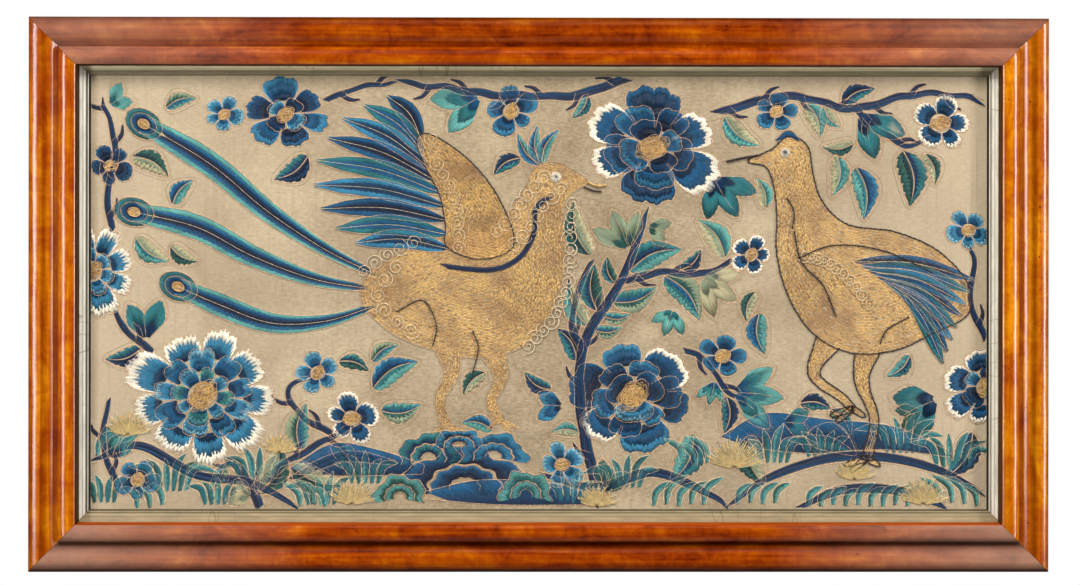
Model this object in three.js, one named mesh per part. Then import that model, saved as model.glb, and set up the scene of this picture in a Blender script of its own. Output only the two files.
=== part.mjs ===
// A framed embroidered panel: silk cloth on a board, inside a gilt slip and a mitred maple frame.
// Millimetres, +Z up, +X to the right of someone facing the panel, which looks towards -Y.
// The origin is the centre of the top rail's back face, which lies on the wall plane, Y = 0.
// Heights are measured forwards from the wall plane, and a rail's widths inwards from its outer edge.
import * as THREE from "three";

const FRAME_WIDTH = 1060;
const FRAME_HEIGHT = 576;
const JOINT_GAP = 0.3; // between any two pieces

// The maple moulding: a low cushion at the outside, a quirk and a higher bead that falls to the lip.
const RAIL_WIDTH = 50.2;
const RAIL_SIDE = 18.5; // height of the square outer side, below the round-over
const ARRIS = { width: 6.7, height: 25.9 };
const SLOPE = { width: 25.6, height: 22 };
const QUIRK = { width: 30.4, height: 17.8 };
const BEAD = { width: 38.8, height: 28 };
const LIP = { width: 49.6, height: 25.6 };
const LIP_FOOT = 24.2; // height at which the inner wall starts
// Each curve of the face: its handles, as steps out of its start and into its end.
const RAIL_CURVES = [
  { out: [0, 4.6], into: [3.6, 0.9], end: ARRIS },
  { out: [6.5, 1.6], into: [5.4, -4.9], end: SLOPE },
  { out: [1.9, -1.7], into: [1.2, -0.7], end: QUIRK },
  { out: [0.3, 5.2], into: [6.5, 1.15], end: BEAD },
  { out: [5, 0.9], into: [2.4, -2], end: LIP },
];
const REBATE_WIDTH = 11.7;
const REBATE_HEIGHT = 11.8;
const CURVE_STEPS = 8; // for each of the profile's curves

// The gilt slip, a thin inner moulding with a flat, a groove and a small bead at the sight edge.
const SIGHT_WIDTH = 938;
const SIGHT_HEIGHT = 453;
const SIGHT_RISE = 1.5; // the slip sits this far above the frame's middle
const SLIP_WIDTH = 18.5;
const SLIP_HEIGHT = 4.8;
const SLIP_FLAT = { width: 14.2, height: 4.2 };
const SLIP_GROOVE = { width: 15.1, height: 3 };
const SLIP_BEAD = { width: 16.8, height: 3.9 };
const SLIP_SIGHT_EDGE = 1.4;
const SLIP_UNDERSIDE = REBATE_HEIGHT - JOINT_GAP - SLIP_HEIGHT;

// The cloth is clamped between the slip and the board, and reaches past the sight edge on all sides.
const CLOTH_MARGIN = 16;
const CLOTH_THICKNESS = 1.8;
const CLOTH_CELLS = { across: 46, up: 23 };
const CLOTH_WIDTH = SIGHT_WIDTH + 2 * CLOTH_MARGIN;
const CLOTH_HEIGHT = SIGHT_HEIGHT + 2 * CLOTH_MARGIN;
const CLOTH_FACE = SLIP_UNDERSIDE - JOINT_GAP;
const LIFT_FADE = 30; // the cockles die away over this distance from the sight edge

// The backing board fills the rebate, just inside the back of the frame.
const BOARD_CLEARANCE = 1;
const BOARD_BACK = 0.6;
const BOARD_FRONT = CLOTH_FACE - CLOTH_THICKNESS - JOINT_GAP;

// Soft ridges of the cloth. Places are from the middle of the sight opening, turn is the ridge's
// direction in degrees from level, and spread is how far it reaches to each side of its line.
const COCKLES = [
  { x: -395, z: 165, turn: 88, length: 150, spread: 16, lift: 0.9 },
  { x: -352, z: 180, turn: 93, length: 120, spread: 13, lift: 0.8 },
  { x: 372, z: 168, turn: 91, length: 160, spread: 15, lift: 1.0 },
  { x: 410, z: 120, turn: 84, length: 170, spread: 20, lift: 0.6 },
  { x: 112, z: -168, turn: 38, length: 170, spread: 14, lift: 1.0 },
  { x: 182, z: -182, turn: 22, length: 150, spread: 18, lift: 0.7 },
  { x: -60, z: -40, turn: 70, length: 260, spread: 34, lift: 0.6 },
  { x: 215, z: -70, turn: 60, length: 230, spread: 32, lift: 0.6 },
  { x: -250, z: -120, turn: 12, length: 240, spread: 30, lift: 0.5 },
];

const MIDDLE_Z = (RAIL_WIDTH - REBATE_WIDTH - FRAME_HEIGHT) / 2;
const SIGHT_Z = MIDDLE_Z + SIGHT_RISE;

const maple = new THREE.MeshStandardMaterial({ color: 0xa8561c, roughness: 0.28, metalness: 0 });
const gilt = new THREE.MeshStandardMaterial({ color: 0xd6d0b4, roughness: 0.4, metalness: 0.5 });
const silk = new THREE.MeshStandardMaterial({ color: 0xb9aa92, roughness: 0.7, metalness: 0 });
const deal = new THREE.MeshStandardMaterial({ color: 0x8f7a5c, roughness: 0.85, metalness: 0 });

function railSection() {
  const shape = new THREE.Shape();
  shape.moveTo(0, 0);
  shape.lineTo(0, RAIL_SIDE);
  for (const { out, into, end } of RAIL_CURVES) {
    const from = shape.currentPoint;
    shape.bezierCurveTo(
      from.x + out[0], from.y + out[1],
      end.width - into[0], end.height - into[1],
      end.width, end.height,
    );
  }
  shape.quadraticCurveTo(RAIL_WIDTH, LIP_FOOT + 1, RAIL_WIDTH, LIP_FOOT);
  shape.lineTo(RAIL_WIDTH, REBATE_HEIGHT);
  shape.lineTo(RAIL_WIDTH - REBATE_WIDTH, REBATE_HEIGHT);
  shape.lineTo(RAIL_WIDTH - REBATE_WIDTH, 0);
  return shape;
}

function slipSection() {
  const shape = new THREE.Shape();
  shape.moveTo(0, 0);
  shape.lineTo(0, SLIP_HEIGHT);
  shape.lineTo(SLIP_FLAT.width, SLIP_FLAT.height);
  shape.lineTo(SLIP_GROOVE.width, SLIP_GROOVE.height);
  shape.quadraticCurveTo(SLIP_GROOVE.width + 0.3, SLIP_BEAD.height, SLIP_BEAD.width, SLIP_BEAD.height);
  shape.quadraticCurveTo(SLIP_WIDTH - 0.2, SLIP_BEAD.height, SLIP_WIDTH, SLIP_SIGHT_EDGE);
  shape.lineTo(SLIP_WIDTH, 0);
  return shape;
}

// A straight moulding, mitred at both ends. It lies along X with its outer edge at Z = 0 and its
// underside at Y = 0, and widens upwards, as the bottom one of the four does.
function mitredMoulding(section, length) {
  const geometry = new THREE.ExtrudeGeometry(section, {
    depth: 1,
    steps: 1,
    bevelEnabled: false,
    curveSegments: CURVE_STEPS,
  });
  const place = geometry.attributes.position;
  const endGap = JOINT_GAP * Math.SQRT1_2;
  for (let i = 0; i < place.count; i++) {
    const inward = place.getX(i);
    const height = place.getY(i);
    const side = place.getZ(i) > 0.5 ? 1 : -1;
    place.setXYZ(i, side * (length / 2 - inward - endGap), -height, inward);
  }
  geometry.computeVertexNormals();
  return geometry;
}

// Four mouldings round a rectangle of the given outer size, whose middle is at the given height.
function fourSides(name, section, material, width, height, middleZ, forward) {
  const ring = new THREE.Group();
  ring.position.set(0, -forward, middleZ);
  const sides = [
    { side: "bottom", turn: 0, length: width, reach: height / 2 },
    { side: "left", turn: Math.PI / 2, length: height, reach: width / 2 },
    { side: "top", turn: Math.PI, length: width, reach: height / 2 },
    { side: "right", turn: -Math.PI / 2, length: height, reach: width / 2 },
  ];
  for (const { side, turn, length, reach } of sides) {
    const arm = new THREE.Group();
    arm.rotation.y = turn;
    const bar = new THREE.Mesh(mitredMoulding(section, length), material);
    bar.name = `${name}_${side}`;
    bar.position.z = -reach;
    arm.add(bar);
    ring.add(arm);
  }
  return ring;
}

// How far the cloth stands off its flat place, at a point from the middle of the sight opening.
function clothLift(x, z) {
  const inside = Math.min(SIGHT_WIDTH / 2 - Math.abs(x), SIGHT_HEIGHT / 2 - Math.abs(z));
  const fade = THREE.MathUtils.smoothstep(inside, 0, LIFT_FADE);
  let lift = 0;
  for (const ridge of COCKLES) {
    const turn = THREE.MathUtils.degToRad(ridge.turn);
    const along = (x - ridge.x) * Math.cos(turn) + (z - ridge.z) * Math.sin(turn);
    const aside = (z - ridge.z) * Math.cos(turn) - (x - ridge.x) * Math.sin(turn);
    const end = (2 * along) / ridge.length;
    lift += ridge.lift * Math.exp(-((aside / ridge.spread) ** 2) - end ** 4);
  }
  return fade * lift;
}

function makeCloth() {
  const geometry = new THREE.BoxGeometry(
    CLOTH_WIDTH, CLOTH_THICKNESS, CLOTH_HEIGHT, CLOTH_CELLS.across, 1, CLOTH_CELLS.up,
  );
  const place = geometry.attributes.position;
  for (let i = 0; i < place.count; i++) {
    place.setY(i, place.getY(i) - clothLift(place.getX(i), place.getZ(i)));
  }
  geometry.computeVertexNormals();
  const cloth = new THREE.Mesh(geometry, silk);
  cloth.name = "embroidered_cloth";
  cloth.position.set(0, CLOTH_THICKNESS / 2 - CLOTH_FACE, SIGHT_Z);
  return cloth;
}

function makeBoard() {
  const rebate = 2 * (RAIL_WIDTH - REBATE_WIDTH + BOARD_CLEARANCE);
  const board = new THREE.Mesh(
    new THREE.BoxGeometry(FRAME_WIDTH - rebate, BOARD_FRONT - BOARD_BACK, FRAME_HEIGHT - rebate),
    deal,
  );
  board.name = "backing_board";
  board.position.set(0, -(BOARD_FRONT + BOARD_BACK) / 2, MIDDLE_Z);
  return board;
}

const panel = new THREE.Group();
panel.add(fourSides("frame_rail", railSection(), maple, FRAME_WIDTH, FRAME_HEIGHT, MIDDLE_Z, 0));
const slipWidth = SIGHT_WIDTH + 2 * SLIP_WIDTH;
const slipHeight = SIGHT_HEIGHT + 2 * SLIP_WIDTH;
panel.add(fourSides("slip", slipSection(), gilt, slipWidth, slipHeight, SIGHT_Z, SLIP_UNDERSIDE));
panel.add(makeCloth());
panel.add(makeBoard());

export default panel;
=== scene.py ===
"""A framed embroidered silk panel: maple frame, gilt slip, stitched silk and backing board, in metres."""

import math

import bpy
import numpy as np
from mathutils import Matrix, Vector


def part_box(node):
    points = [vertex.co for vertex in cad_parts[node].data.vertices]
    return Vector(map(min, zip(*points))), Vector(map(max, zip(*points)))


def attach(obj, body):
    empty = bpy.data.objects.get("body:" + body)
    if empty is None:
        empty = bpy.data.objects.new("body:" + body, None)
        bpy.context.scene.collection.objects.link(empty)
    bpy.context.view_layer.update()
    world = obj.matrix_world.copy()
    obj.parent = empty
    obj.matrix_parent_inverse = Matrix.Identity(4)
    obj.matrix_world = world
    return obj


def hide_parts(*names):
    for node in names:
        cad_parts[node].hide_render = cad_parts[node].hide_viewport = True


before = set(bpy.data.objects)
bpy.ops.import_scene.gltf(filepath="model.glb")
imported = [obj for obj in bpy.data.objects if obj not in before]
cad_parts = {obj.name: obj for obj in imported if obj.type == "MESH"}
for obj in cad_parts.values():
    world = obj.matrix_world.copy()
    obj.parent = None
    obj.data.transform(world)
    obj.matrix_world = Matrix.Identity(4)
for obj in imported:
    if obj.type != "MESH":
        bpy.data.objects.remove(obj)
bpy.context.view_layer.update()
scene = bpy.context.scene
MM = 0.001

# The view: the panel hangs face on, a little below the lens, which is a normal one about a metre and
# a half away and turned a touch to the right. The room is plain and pale, with the floor well below.
RAIL_LOW, RAIL_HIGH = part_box("frame_rail_bottom")[0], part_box("frame_rail_top")[1]
MIDDLE = np.array([0, 0, (RAIL_LOW[2] + RAIL_HIGH[2]) / 2])
PHOTO_WIDTH = 1080
FOCAL_PIXELS = 1540.7
MIDDLE_OFFSET = (-0.4, 1.4)  # pixels from the picture's middle to the panel's, across and down
CAMERA_DISTANCE = 1.62
CAMERA_RISE = 0.07
CAMERA_TURN = math.radians(-0.33)
CAMERA_ROLL = math.radians(-0.075)
SENSOR_WIDTH = 36

lens = bpy.data.cameras.new("panel_view")
lens.sensor_width = SENSOR_WIDTH
lens.lens = SENSOR_WIDTH * FOCAL_PIXELS / PHOTO_WIDTH
lens.shift_x = (FOCAL_PIXELS * math.tan(CAMERA_TURN) - MIDDLE_OFFSET[0]) / PHOTO_WIDTH
lens.shift_y = (MIDDLE_OFFSET[1] - CAMERA_RISE / CAMERA_DISTANCE * FOCAL_PIXELS) / PHOTO_WIDTH
camera = bpy.data.objects.new("panel_view", lens)
camera.location = (0, -CAMERA_DISTANCE, MIDDLE[2] + CAMERA_RISE)
camera.rotation_euler = (math.pi / 2, CAMERA_ROLL, CAMERA_TURN)
scene.collection.objects.link(camera)
scene.camera = camera
scene.view_settings.view_transform = "Standard"


def soft_box(name, place, size, power, glints=True):
    """A rectangular light that faces the middle of the panel."""
    data = bpy.data.lights.new(name, "AREA")
    data.shape = "RECTANGLE"
    data.size, data.size_y = size
    data.energy = power
    data.spread = math.radians(90)
    light = bpy.data.objects.new(name, data)
    light.location = MIDDLE + np.array(place)
    aim = Vector(MIDDLE) - light.location
    light.rotation_euler = aim.to_track_quat("-Z", "Y").to_euler()
    light.visible_glossy = glints
    scene.collection.objects.link(light)


soft_box("left_box", (-1.75, -1.5, 0.15), (0.4, 1.6), 9)
soft_box("right_box", (2.2, -1.3, 0.15), (0.4, 1.6), 11)
soft_box("high_box", (0.0, -1.7, 1.9), (2.6, 1.0), 27, glints=False)

world = bpy.data.worlds.new("pale_room")
scene.world = world
world.use_nodes = True
wires = world.node_tree
ROOM_LIGHT = {"diffuse": 0.07, "glossy": 0.02, "camera": 1.0}
seen = wires.nodes.new("ShaderNodeLightPath")
last = wires.nodes["Background"]
last.inputs["Color"].default_value = (1, 1, 1, 1)
last.inputs["Strength"].default_value = ROOM_LIGHT["diffuse"]
last = last.outputs[0]
for kind, ray in (("glossy", "Is Glossy Ray"), ("camera", "Is Camera Ray")):
    glow = wires.nodes.new("ShaderNodeBackground")
    glow.inputs["Color"].default_value = (1, 1, 1, 1)
    glow.inputs["Strength"].default_value = ROOM_LIGHT[kind]
    choose = wires.nodes.new("ShaderNodeMixShader")
    wires.links.new(seen.outputs[ray], choose.inputs["Fac"])
    wires.links.new(last, choose.inputs[1])
    wires.links.new(glow.outputs[0], choose.inputs[2])
    last = choose.outputs[0]
wires.links.new(last, wires.nodes["World Output"].inputs["Surface"])


def mesh_object(name, points, faces, smooth=True):
    """A new object whose mesh has these points, in metres, and these faces."""
    mesh = bpy.data.meshes.new(name)
    mesh.from_pydata([tuple(p) for p in points], [], [tuple(f) for f in faces])
    mesh.polygons.foreach_set("use_smooth", [smooth] * len(mesh.polygons))
    mesh.update()
    made = bpy.data.objects.new(name, mesh)
    scene.collection.objects.link(made)
    return made


class Finish:
    """A material being wired up: its tree, its shader, and short ways to add nodes."""

    def __init__(self, name, roughness, **sockets):
        self.material = bpy.data.materials.new(name)
        self.material.use_nodes = True
        self.tree = self.material.node_tree
        self.shader = self.tree.nodes["Principled BSDF"]
        self.shader.inputs["Roughness"].default_value = roughness
        for socket, value in sockets.items():
            self.shader.inputs[socket.replace("_", " ")].default_value = value

    def put(self, value, socket):
        """Sets a socket to a number or colour, or links it to another node's output."""
        if isinstance(value, bpy.types.NodeSocket):
            self.tree.links.new(value, socket)
        else:
            socket.default_value = value

    def where(self, scale, layer=None):
        """Places in the object, or on one of its own flat layers, stretched by the three scales."""
        if layer:
            source = self.tree.nodes.new("ShaderNodeUVMap")
            source.uv_map = layer
            place = source.outputs["UV"]
        else:
            place = self.tree.nodes.new("ShaderNodeTexCoord").outputs["Object"]
        stretch = self.tree.nodes.new("ShaderNodeMapping")
        stretch.inputs["Scale"].default_value = scale
        self.tree.links.new(place, stretch.inputs["Vector"])
        return stretch.outputs[0]

    def noise(self, place, scale=1.0, detail=3.0, rough=0.5, bend=0.0):
        """A soft random pattern from 0 to 1."""
        node = self.tree.nodes.new("ShaderNodeTexNoise")
        self.put(place, node.inputs["Vector"])
        node.inputs["Scale"].default_value = scale
        node.inputs["Detail"].default_value = detail
        node.inputs["Roughness"].default_value = rough
        node.inputs["Distortion"].default_value = bend
        return node.outputs["Fac"]

    def cells(self, place, scale=1.0, feature="F1"):
        """Distance to the nearest of a scatter of random points, or to the edge between two cells."""
        node = self.tree.nodes.new("ShaderNodeTexVoronoi")
        node.feature = feature
        self.put(place, node.inputs["Vector"])
        node.inputs["Scale"].default_value = scale
        return node.outputs["Distance"]

    def step(self, value, low, high):
        """0 below low and 1 above high, with an even slope between."""
        node = self.tree.nodes.new("ShaderNodeMapRange")
        self.put(value, node.inputs["Value"])
        node.inputs["From Min"].default_value = low
        node.inputs["From Max"].default_value = high
        return node.outputs["Result"]

    def mark(self, place, size, layer):
        """1 inside a small spot with an uneven edge, 0 outside it."""
        spot = self.where((1 / size[0], 1 / size[1], 1), layer)
        off = self.tree.nodes.new("ShaderNodeVectorMath")
        off.operation = "DISTANCE"
        self.put(spot, off.inputs[0])
        off.inputs[1].default_value = (place[0] / size[0], place[1] / size[1], 0)
        uneven = self.times(self.noise(spot, 2.2, 3, 0.8), 2.2)
        return self.step(self.add(off.outputs["Value"], uneven), 2.0, 1.5)

    def axis(self, letter, layer=None):
        """One coordinate of each place, in the object or on one of its flat layers."""
        split = self.tree.nodes.new("ShaderNodeSeparateXYZ")
        self.put(self.where((1, 1, 1), layer), split.inputs[0])
        return split.outputs[letter]

    def times(self, first, second):
        """Two numbers multiplied."""
        return self.add(first, second, "MULTIPLY")

    def away(self, value, middle):
        """How far a number is from a middle one, either way."""
        return self.add(self.add(value, -middle), 0.0, "ABSOLUTE")

    def add(self, first, second, how="ADD"):
        """Two numbers added, or put together by another operation."""
        node = self.tree.nodes.new("ShaderNodeMath")
        node.operation = how
        self.put(first, node.inputs[0])
        self.put(second, node.inputs[1])
        return node.outputs[0]

    def mix(self, amount, first, second, how="MIX"):
        """Two colours mixed, or multiplied and the like, by an amount."""
        node = self.tree.nodes.new("ShaderNodeMix")
        node.data_type = "RGBA"
        node.blend_type = how
        self.put(amount, node.inputs["Factor"])
        self.put(first, node.inputs["A"])
        self.put(second, node.inputs["B"])
        return node.outputs["Result"]

    def ramp(self, value, colours):
        """Colours laid evenly along a number from 0 to 1."""
        node = self.tree.nodes.new("ShaderNodeValToRGB")
        stops = node.color_ramp.elements
        while len(stops) < len(colours):
            stops.new(0.5)
        for i, colour in enumerate(colours):
            stops[i].position = i / (len(colours) - 1)
            stops[i].color = colour
        self.put(value, node.inputs["Fac"])
        return node.outputs["Color"]

    def bump(self, height, depth_mm, after=None):
        """Small relief of this depth, on top of another one."""
        node = self.tree.nodes.new("ShaderNodeBump")
        node.inputs["Strength"].default_value = 1.0
        node.inputs["Distance"].default_value = depth_mm * MM
        self.put(height, node.inputs["Height"])
        if after:
            self.tree.links.new(after, node.inputs["Normal"])
        return node.outputs["Normal"]

    def wear(self, **outputs):
        """Links outputs to the shader's sockets of these names."""
        for socket, value in outputs.items():
            self.put(value, self.shader.inputs[socket.replace("_", " ")])
        return self.material


def rgb(red, green, blue):
    """A screen colour, 0 to 255, as the linear numbers that a shader takes."""
    part = np.array([red, green, blue]) / 255
    linear = np.where(part <= 0.04045, part / 12.92, ((part + 0.055) / 1.055) ** 2.4)
    return (*linear.tolist(), 1.0)


FLOOR_DROP = 1.3
FLOOR_HALF = 3.0
floor_z = RAIL_LOW[2] - FLOOR_DROP
floor = mesh_object(
    "floor",
    [(x * FLOOR_HALF, y * FLOOR_HALF, floor_z) for x, y in ((-1, -1), (1, -1), (1, 1), (-1, 1))],
    [(0, 1, 2, 3)],
)
floor_finish = Finish("pale_floor", 0.8)
grain = floor_finish.noise(floor_finish.where((6, 6, 6)))
floor.data.materials.append(
    floor_finish.wear(Base_Color=floor_finish.mix(grain, rgb(214, 212, 208), rgb(228, 226, 222)))
)

# The frame: four lengths of one maple moulding, cut at 45 degrees and glued at the corners. A low
# cushion, a quirk and a higher bead that falls to the lip. Amber varnish, bloomed, chipped and worm-holed.
# Each side's wood is painted paler or darker for how it is lit. Shade is painted into the quirk, along
# the outer edge, down the side rails' cushion and on the inner wall.
FRAME_WIDTH = RAIL_HIGH[0] - RAIL_LOW[0]
RAIL_WIDTH = 50.2
RAIL_SIDE = 18.5
ARRIS, SLOPE, QUIRK, BEAD, LIP = (6.7, 25.9), (25.6, 22.0), (30.4, 17.8), (38.8, 28.0), (49.6, 25.6)
RAIL_CURVES = [  # the step out of each start, the step into each end, and the end
    ((0.0, 4.6), (3.6, 0.9), ARRIS),
    ((6.5, 1.6), (5.4, -4.9), SLOPE),
    ((1.9, -1.7), (1.2, -0.7), QUIRK),
    ((0.3, 5.2), (6.5, 1.15), BEAD),
    ((5.0, 0.9), (2.4, -2.0), LIP),
    ((0.4, -0.3), (0.0, 0.7), (RAIL_WIDTH, 24.2)),
]
CURVE_STEPS = 8
REBATE = (11.7, 11.8)
JOINT_GAP = 0.3
SHARP_EDGE = math.radians(38)
RAIL_STEPS = {"long": 120, "short": 66}
RAIL_WAVER = 0.035


def curve_through(start, pieces, steps):
    """Points along cubic curves that follow one another, given by their handles and ends."""
    points = [np.array(start, float)]
    for out, into, end in pieces:
        first, last = points[-1], np.array(end, float)
        second, third = first + out, last - into
        for t in np.arange(1, steps + 1) / steps:
            near = (1 - t) ** 3 * first + 3 * t * (1 - t) ** 2 * second
            points.append(near + 3 * t * t * (1 - t) * third + t**3 * last)
    return points


def rail_section():
    """The moulding's outline, in mm inwards from its outer edge and forwards from the wall."""
    face = curve_through((0, RAIL_SIDE), RAIL_CURVES, CURVE_STEPS)
    inner = RAIL_WIDTH - REBATE[0]
    back = [(RAIL_WIDTH, REBATE[1]), (inner, REBATE[1]), (inner, 0.0), (0.0, 0.0)]
    return np.array(face + [np.array(p) for p in back])


def girth_of(section):
    """How far along a line or round a section each of its points lies."""
    return np.concatenate([[0], np.cumsum(np.linalg.norm(np.diff(section, axis=0), axis=1))])


def grain_start(turn):
    """The middle of a side's own stretch of the grain, in mm along it."""
    return turn * 1000


def moulding(name, section, outer_length, turn, reach, centre, forward, steps, waver):
    """One mitred length: turn puts it at the bottom, left, top or right, reach from the centre. Waver is
    the height in mm of each of the slow waves that hand planing has left along its face."""
    rng = np.random.default_rng(len(name) + int(turn * 10))
    count = len(section)
    inward, height = section.T
    half = outer_length / 2 - inward - JOINT_GAP * math.sqrt(0.5)
    at = np.linspace(-1, 1, steps + 1)
    along = at[:, None] * half[None, :]
    swell = np.zeros_like(along)
    shown = np.clip((height - REBATE[1]) / 6, 0, 1) if waver else np.zeros(count)
    for wave in (37.0, 71.0, 163.0, 310.0):
        phase, lean = rng.uniform(0, 2 * math.pi, 2)
        swell += waver * np.sin(2 * math.pi * along / wave + phase + inward[None, :] / 14 * lean)
    swell *= (1 - at[:, None] ** 8) * shown[None, :]
    y = -(height[None, :] + swell) - forward
    z = inward[None, :] - reach + 0 * along
    cosine, sine = math.cos(turn), math.sin(turn)
    turned = np.stack([along * cosine + z * sine, y, -along * sine + z * cosine], 2).reshape(-1, 3) * MM
    turned += np.array(centre)
    ring = np.arange(count)
    rows = np.arange(steps)[:, None] * count
    after = (ring + 1) % count
    quads = np.stack([rows + ring, rows + after, rows + count + after, rows + count + ring], 2)
    faces = [tuple(q) for q in quads.reshape(-1, 4)]
    faces.append(tuple(ring[::-1]))
    faces.append(tuple(ring + steps * count))
    made = mesh_object(name, turned, faces)
    made.data.set_sharp_from_angle(angle=SHARP_EDGE)
    layer = made.data.uv_layers.new(name="grain")
    vertex = np.empty(len(made.data.loops), np.int32)
    made.data.loops.foreach_get("vertex_index", vertex)
    place = np.stack([along.ravel()[vertex] + grain_start(turn), girth_of(section)[vertex % count]], 1) * MM
    layer.uv.foreach_set("vector", place.astype(np.float32).ravel())
    return made


SIDES = {  # turn about the axis through the wall, how much paler or darker the wood is painted for how it is lit, how bloomed it is, the painted shade in its quirk, along its outer edge and down its cushion, and its inner wall's tone with light and shade painted in
    "bottom": dict(turn=0.0, long=True, pale=-0.1, bloom=0.32,
                   quirk=0.8, edge=0.97, streak_shade=0.0, wall=(184, 76, 2)),
    "left": dict(turn=math.pi / 2, long=False, pale=0.18, bloom=0,
                 quirk=0.1, edge=0.3, streak_shade=0.35, wall=(78, 44, 14)),
    "top": dict(turn=math.pi, long=True, pale=-0.1, bloom=0.14,
                quirk=0.0, edge=0.6, streak_shade=0.0, wall=(90, 42, 10)),
    "right": dict(turn=-math.pi / 2, long=False, pale=0.28, bloom=0,
                  quirk=0.05, edge=0.1, streak_shade=0.5, wall=(92, 50, 12)),
}
FACE = rail_section()
GIRTH = girth_of(FACE) * MM
QUIRK_POINT, LIP_POINT = 3 * CURVE_STEPS, 5 * CURVE_STEPS
BLOOM_FROM, BLOOM_TO = 0.24, 0.48  # metres from the middle of a long rail
BARE, BORED = (150, 84, 62), (26, 12, 6)
MARKS = [  # chips and worm holes: the rail, mm along it and in from its outer edge, length, width, tone
    ("top", -499, 6.6, 8, 1.8, BARE),
    ("top", -498, 16, 1.8, 2, BARE),
    ("top", -508, 18, 2.4, 1, BARE),
    ("top", 17, 40.6, 2, 0.9, BARE),
    ("top", 210, 30, 3, 0.6, BORED),
    ("left", 262, 9, 6, 1, BARE),
    ("left", -120, 36, 1.1, 1, BORED),
    ("bottom", -505, 12, 3.5, 1.2, BARE),
    ("bottom", 330, 20, 2.4, 0.7, BORED),
    ("right", 244, 23.9, 1, 1, BORED),
    ("right", 231, 6.5, 1, 1, BORED),
    ("right", 226, 34.7, 1.4, 1.6, BORED),
    ("right", 215, 8.6, 1, 0.9, BORED),
    ("right", 203, 44.2, 1, 1, BORED),
    ("right", 201, 21.1, 1.2, 1.3, BORED),
    ("right", 189, 4.4, 1, 0.9, BORED),
    ("right", 92, 11.4, 1.3, 1.3, BORED),
    ("right", 66, 10.8, 1, 1, BORED),
    ("right", 40, 12, 1.4, 1.2, BORED),
    ("right", 6, 11.2, 1.1, 1.1, BORED),
]


def maple(side, look):
    """Amber varnished maple: streaks, figure, worm holes, a bloom at the long rails' ends, and painted light
    and shade.
    """
    f = Finish(f"maple_{side}", 0.4, Coat_Roughness=0.2, Coat_IOR=1.6, Specular_IOR_Level=0.0)
    streaks = f.noise(f.where((4, 170, 1), "grain"), 1, 4, 0.6, 0.4)
    clouds = f.noise(f.where((16, 34, 1), "grain"), 1, 4, 0.62, 0.8)
    figure = f.noise(f.where((90, 50, 1), "grain"), 1, 3, 0.6, 1.2)
    tone = f.add(f.times(streaks, 0.4), f.times(clouds, 0.5))
    tone = f.add(tone, f.times(figure, 0.2))
    # Painted light and shade: each side's wood is made paler or darker for how brightly it is lit.
    tone = f.add(f.step(tone, 0.38, 0.74), look["pale"])
    wood = f.ramp(
        tone,
        [rgb(84, 20, 0), rgb(124, 42, 0), rgb(150, 62, 0), rgb(176, 91, 0), rgb(204, 125, 6)],
    )
    pores = f.step(f.noise(f.where((40, 900, 1), "grain"), 1, 2, 0.5), 0.62, 0.74)
    wood = f.mix(f.times(pores, 0.3), wood, rgb(70, 22, 0))
    holes = f.step(f.cells(f.where((1, 1, 1), "grain"), 30), 0.03, 0.018)
    eaten = f.step(f.noise(f.where((9, 9, 1), "grain")), 0.56, 0.6)
    small = f.step(f.cells(f.where((1, 1, 1), "grain"), 110), 0.1, 0.06)
    holes = f.add(holes, f.times(small, eaten), "MAXIMUM")
    wood = f.mix(holes, wood, rgb(24, 10, 4))
    if look["bloom"]:
        bloom = f.step(f.away(f.axis("X"), 0.0), BLOOM_FROM, BLOOM_TO)
        bloom = f.times(bloom, f.add(f.times(clouds, 0.5), look["bloom"]))
        wood = f.mix(bloom, wood, rgb(156, 130, 112))
    for mark_side, along, inwards, long, wide, tone in MARKS:
        if mark_side == side:
            girth = np.interp(inwards, FACE[:LIP_POINT, 0], GIRTH[:LIP_POINT])
            place = ((along + grain_start(look["turn"])) * MM, float(girth))
            wood = f.mix(f.mark(place, (long * MM, wide * MM), "grain"), wood, rgb(*tone))
    girth = f.axis("Y", "grain")
    # Painted shade: dark bands where shade falls, in the quirk under the bead, along the outer edge and down
    # the side rails' cushion. The coat is thinned there too.
    painted_shade = 0.0
    for middle, near, far, amount in (
        (GIRTH[QUIRK_POINT] + 0.5 * MM, 3 * MM, 14 * MM, look["quirk"]),
        (GIRTH[CURVE_STEPS] + 10.5 * MM, 1 * MM, 4.5 * MM, look["streak_shade"]),
        (0.0, 6 * MM, 16 * MM, look["edge"]),
    ):
        off = f.away(girth, middle)
        painted_shade = f.add(painted_shade, f.times(f.step(off, far, near), amount), "MAXIMUM")
    wood = f.mix(painted_shade, wood, rgb(30, 6, 0))
    gloss = f.add(f.times(painted_shade, -0.65), 0.8)
    rough = f.add(f.times(clouds, 0.2), 0.3)
    dents = f.noise(f.where((60, 160, 1), "grain"), 1, 4, 0.6)
    relief = f.bump(f.add(dents, f.times(holes, -2.0)), 0.07)
    return f.wear(Base_Color=wood, Roughness=rough, Coat_Weight=gloss, Normal=relief, Coat_Normal=relief)


def shaded_inner_wall(side, look):
    """The steep inner wall under the lip, the outer side and the back, hardly varnished, in each side's tone
    with its light and shade painted in.
    """
    f = Finish(f"wall_{side}", 0.7, Specular_IOR_Level=0.1)
    streaks = f.noise(f.where((6, 300, 1), "grain"), 1, 4, 0.6, 0.4)
    # Painted shade: the wall's tone is darker at the sides and top, where little light reaches, and orange
    # at the bottom, where light falls from above.
    dark = rgb(*(0.7 * part for part in look["wall"]))
    return f.wear(Base_Color=f.mix(f.step(streaks, 0.35, 0.65), dark, rgb(*look["wall"])))


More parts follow.
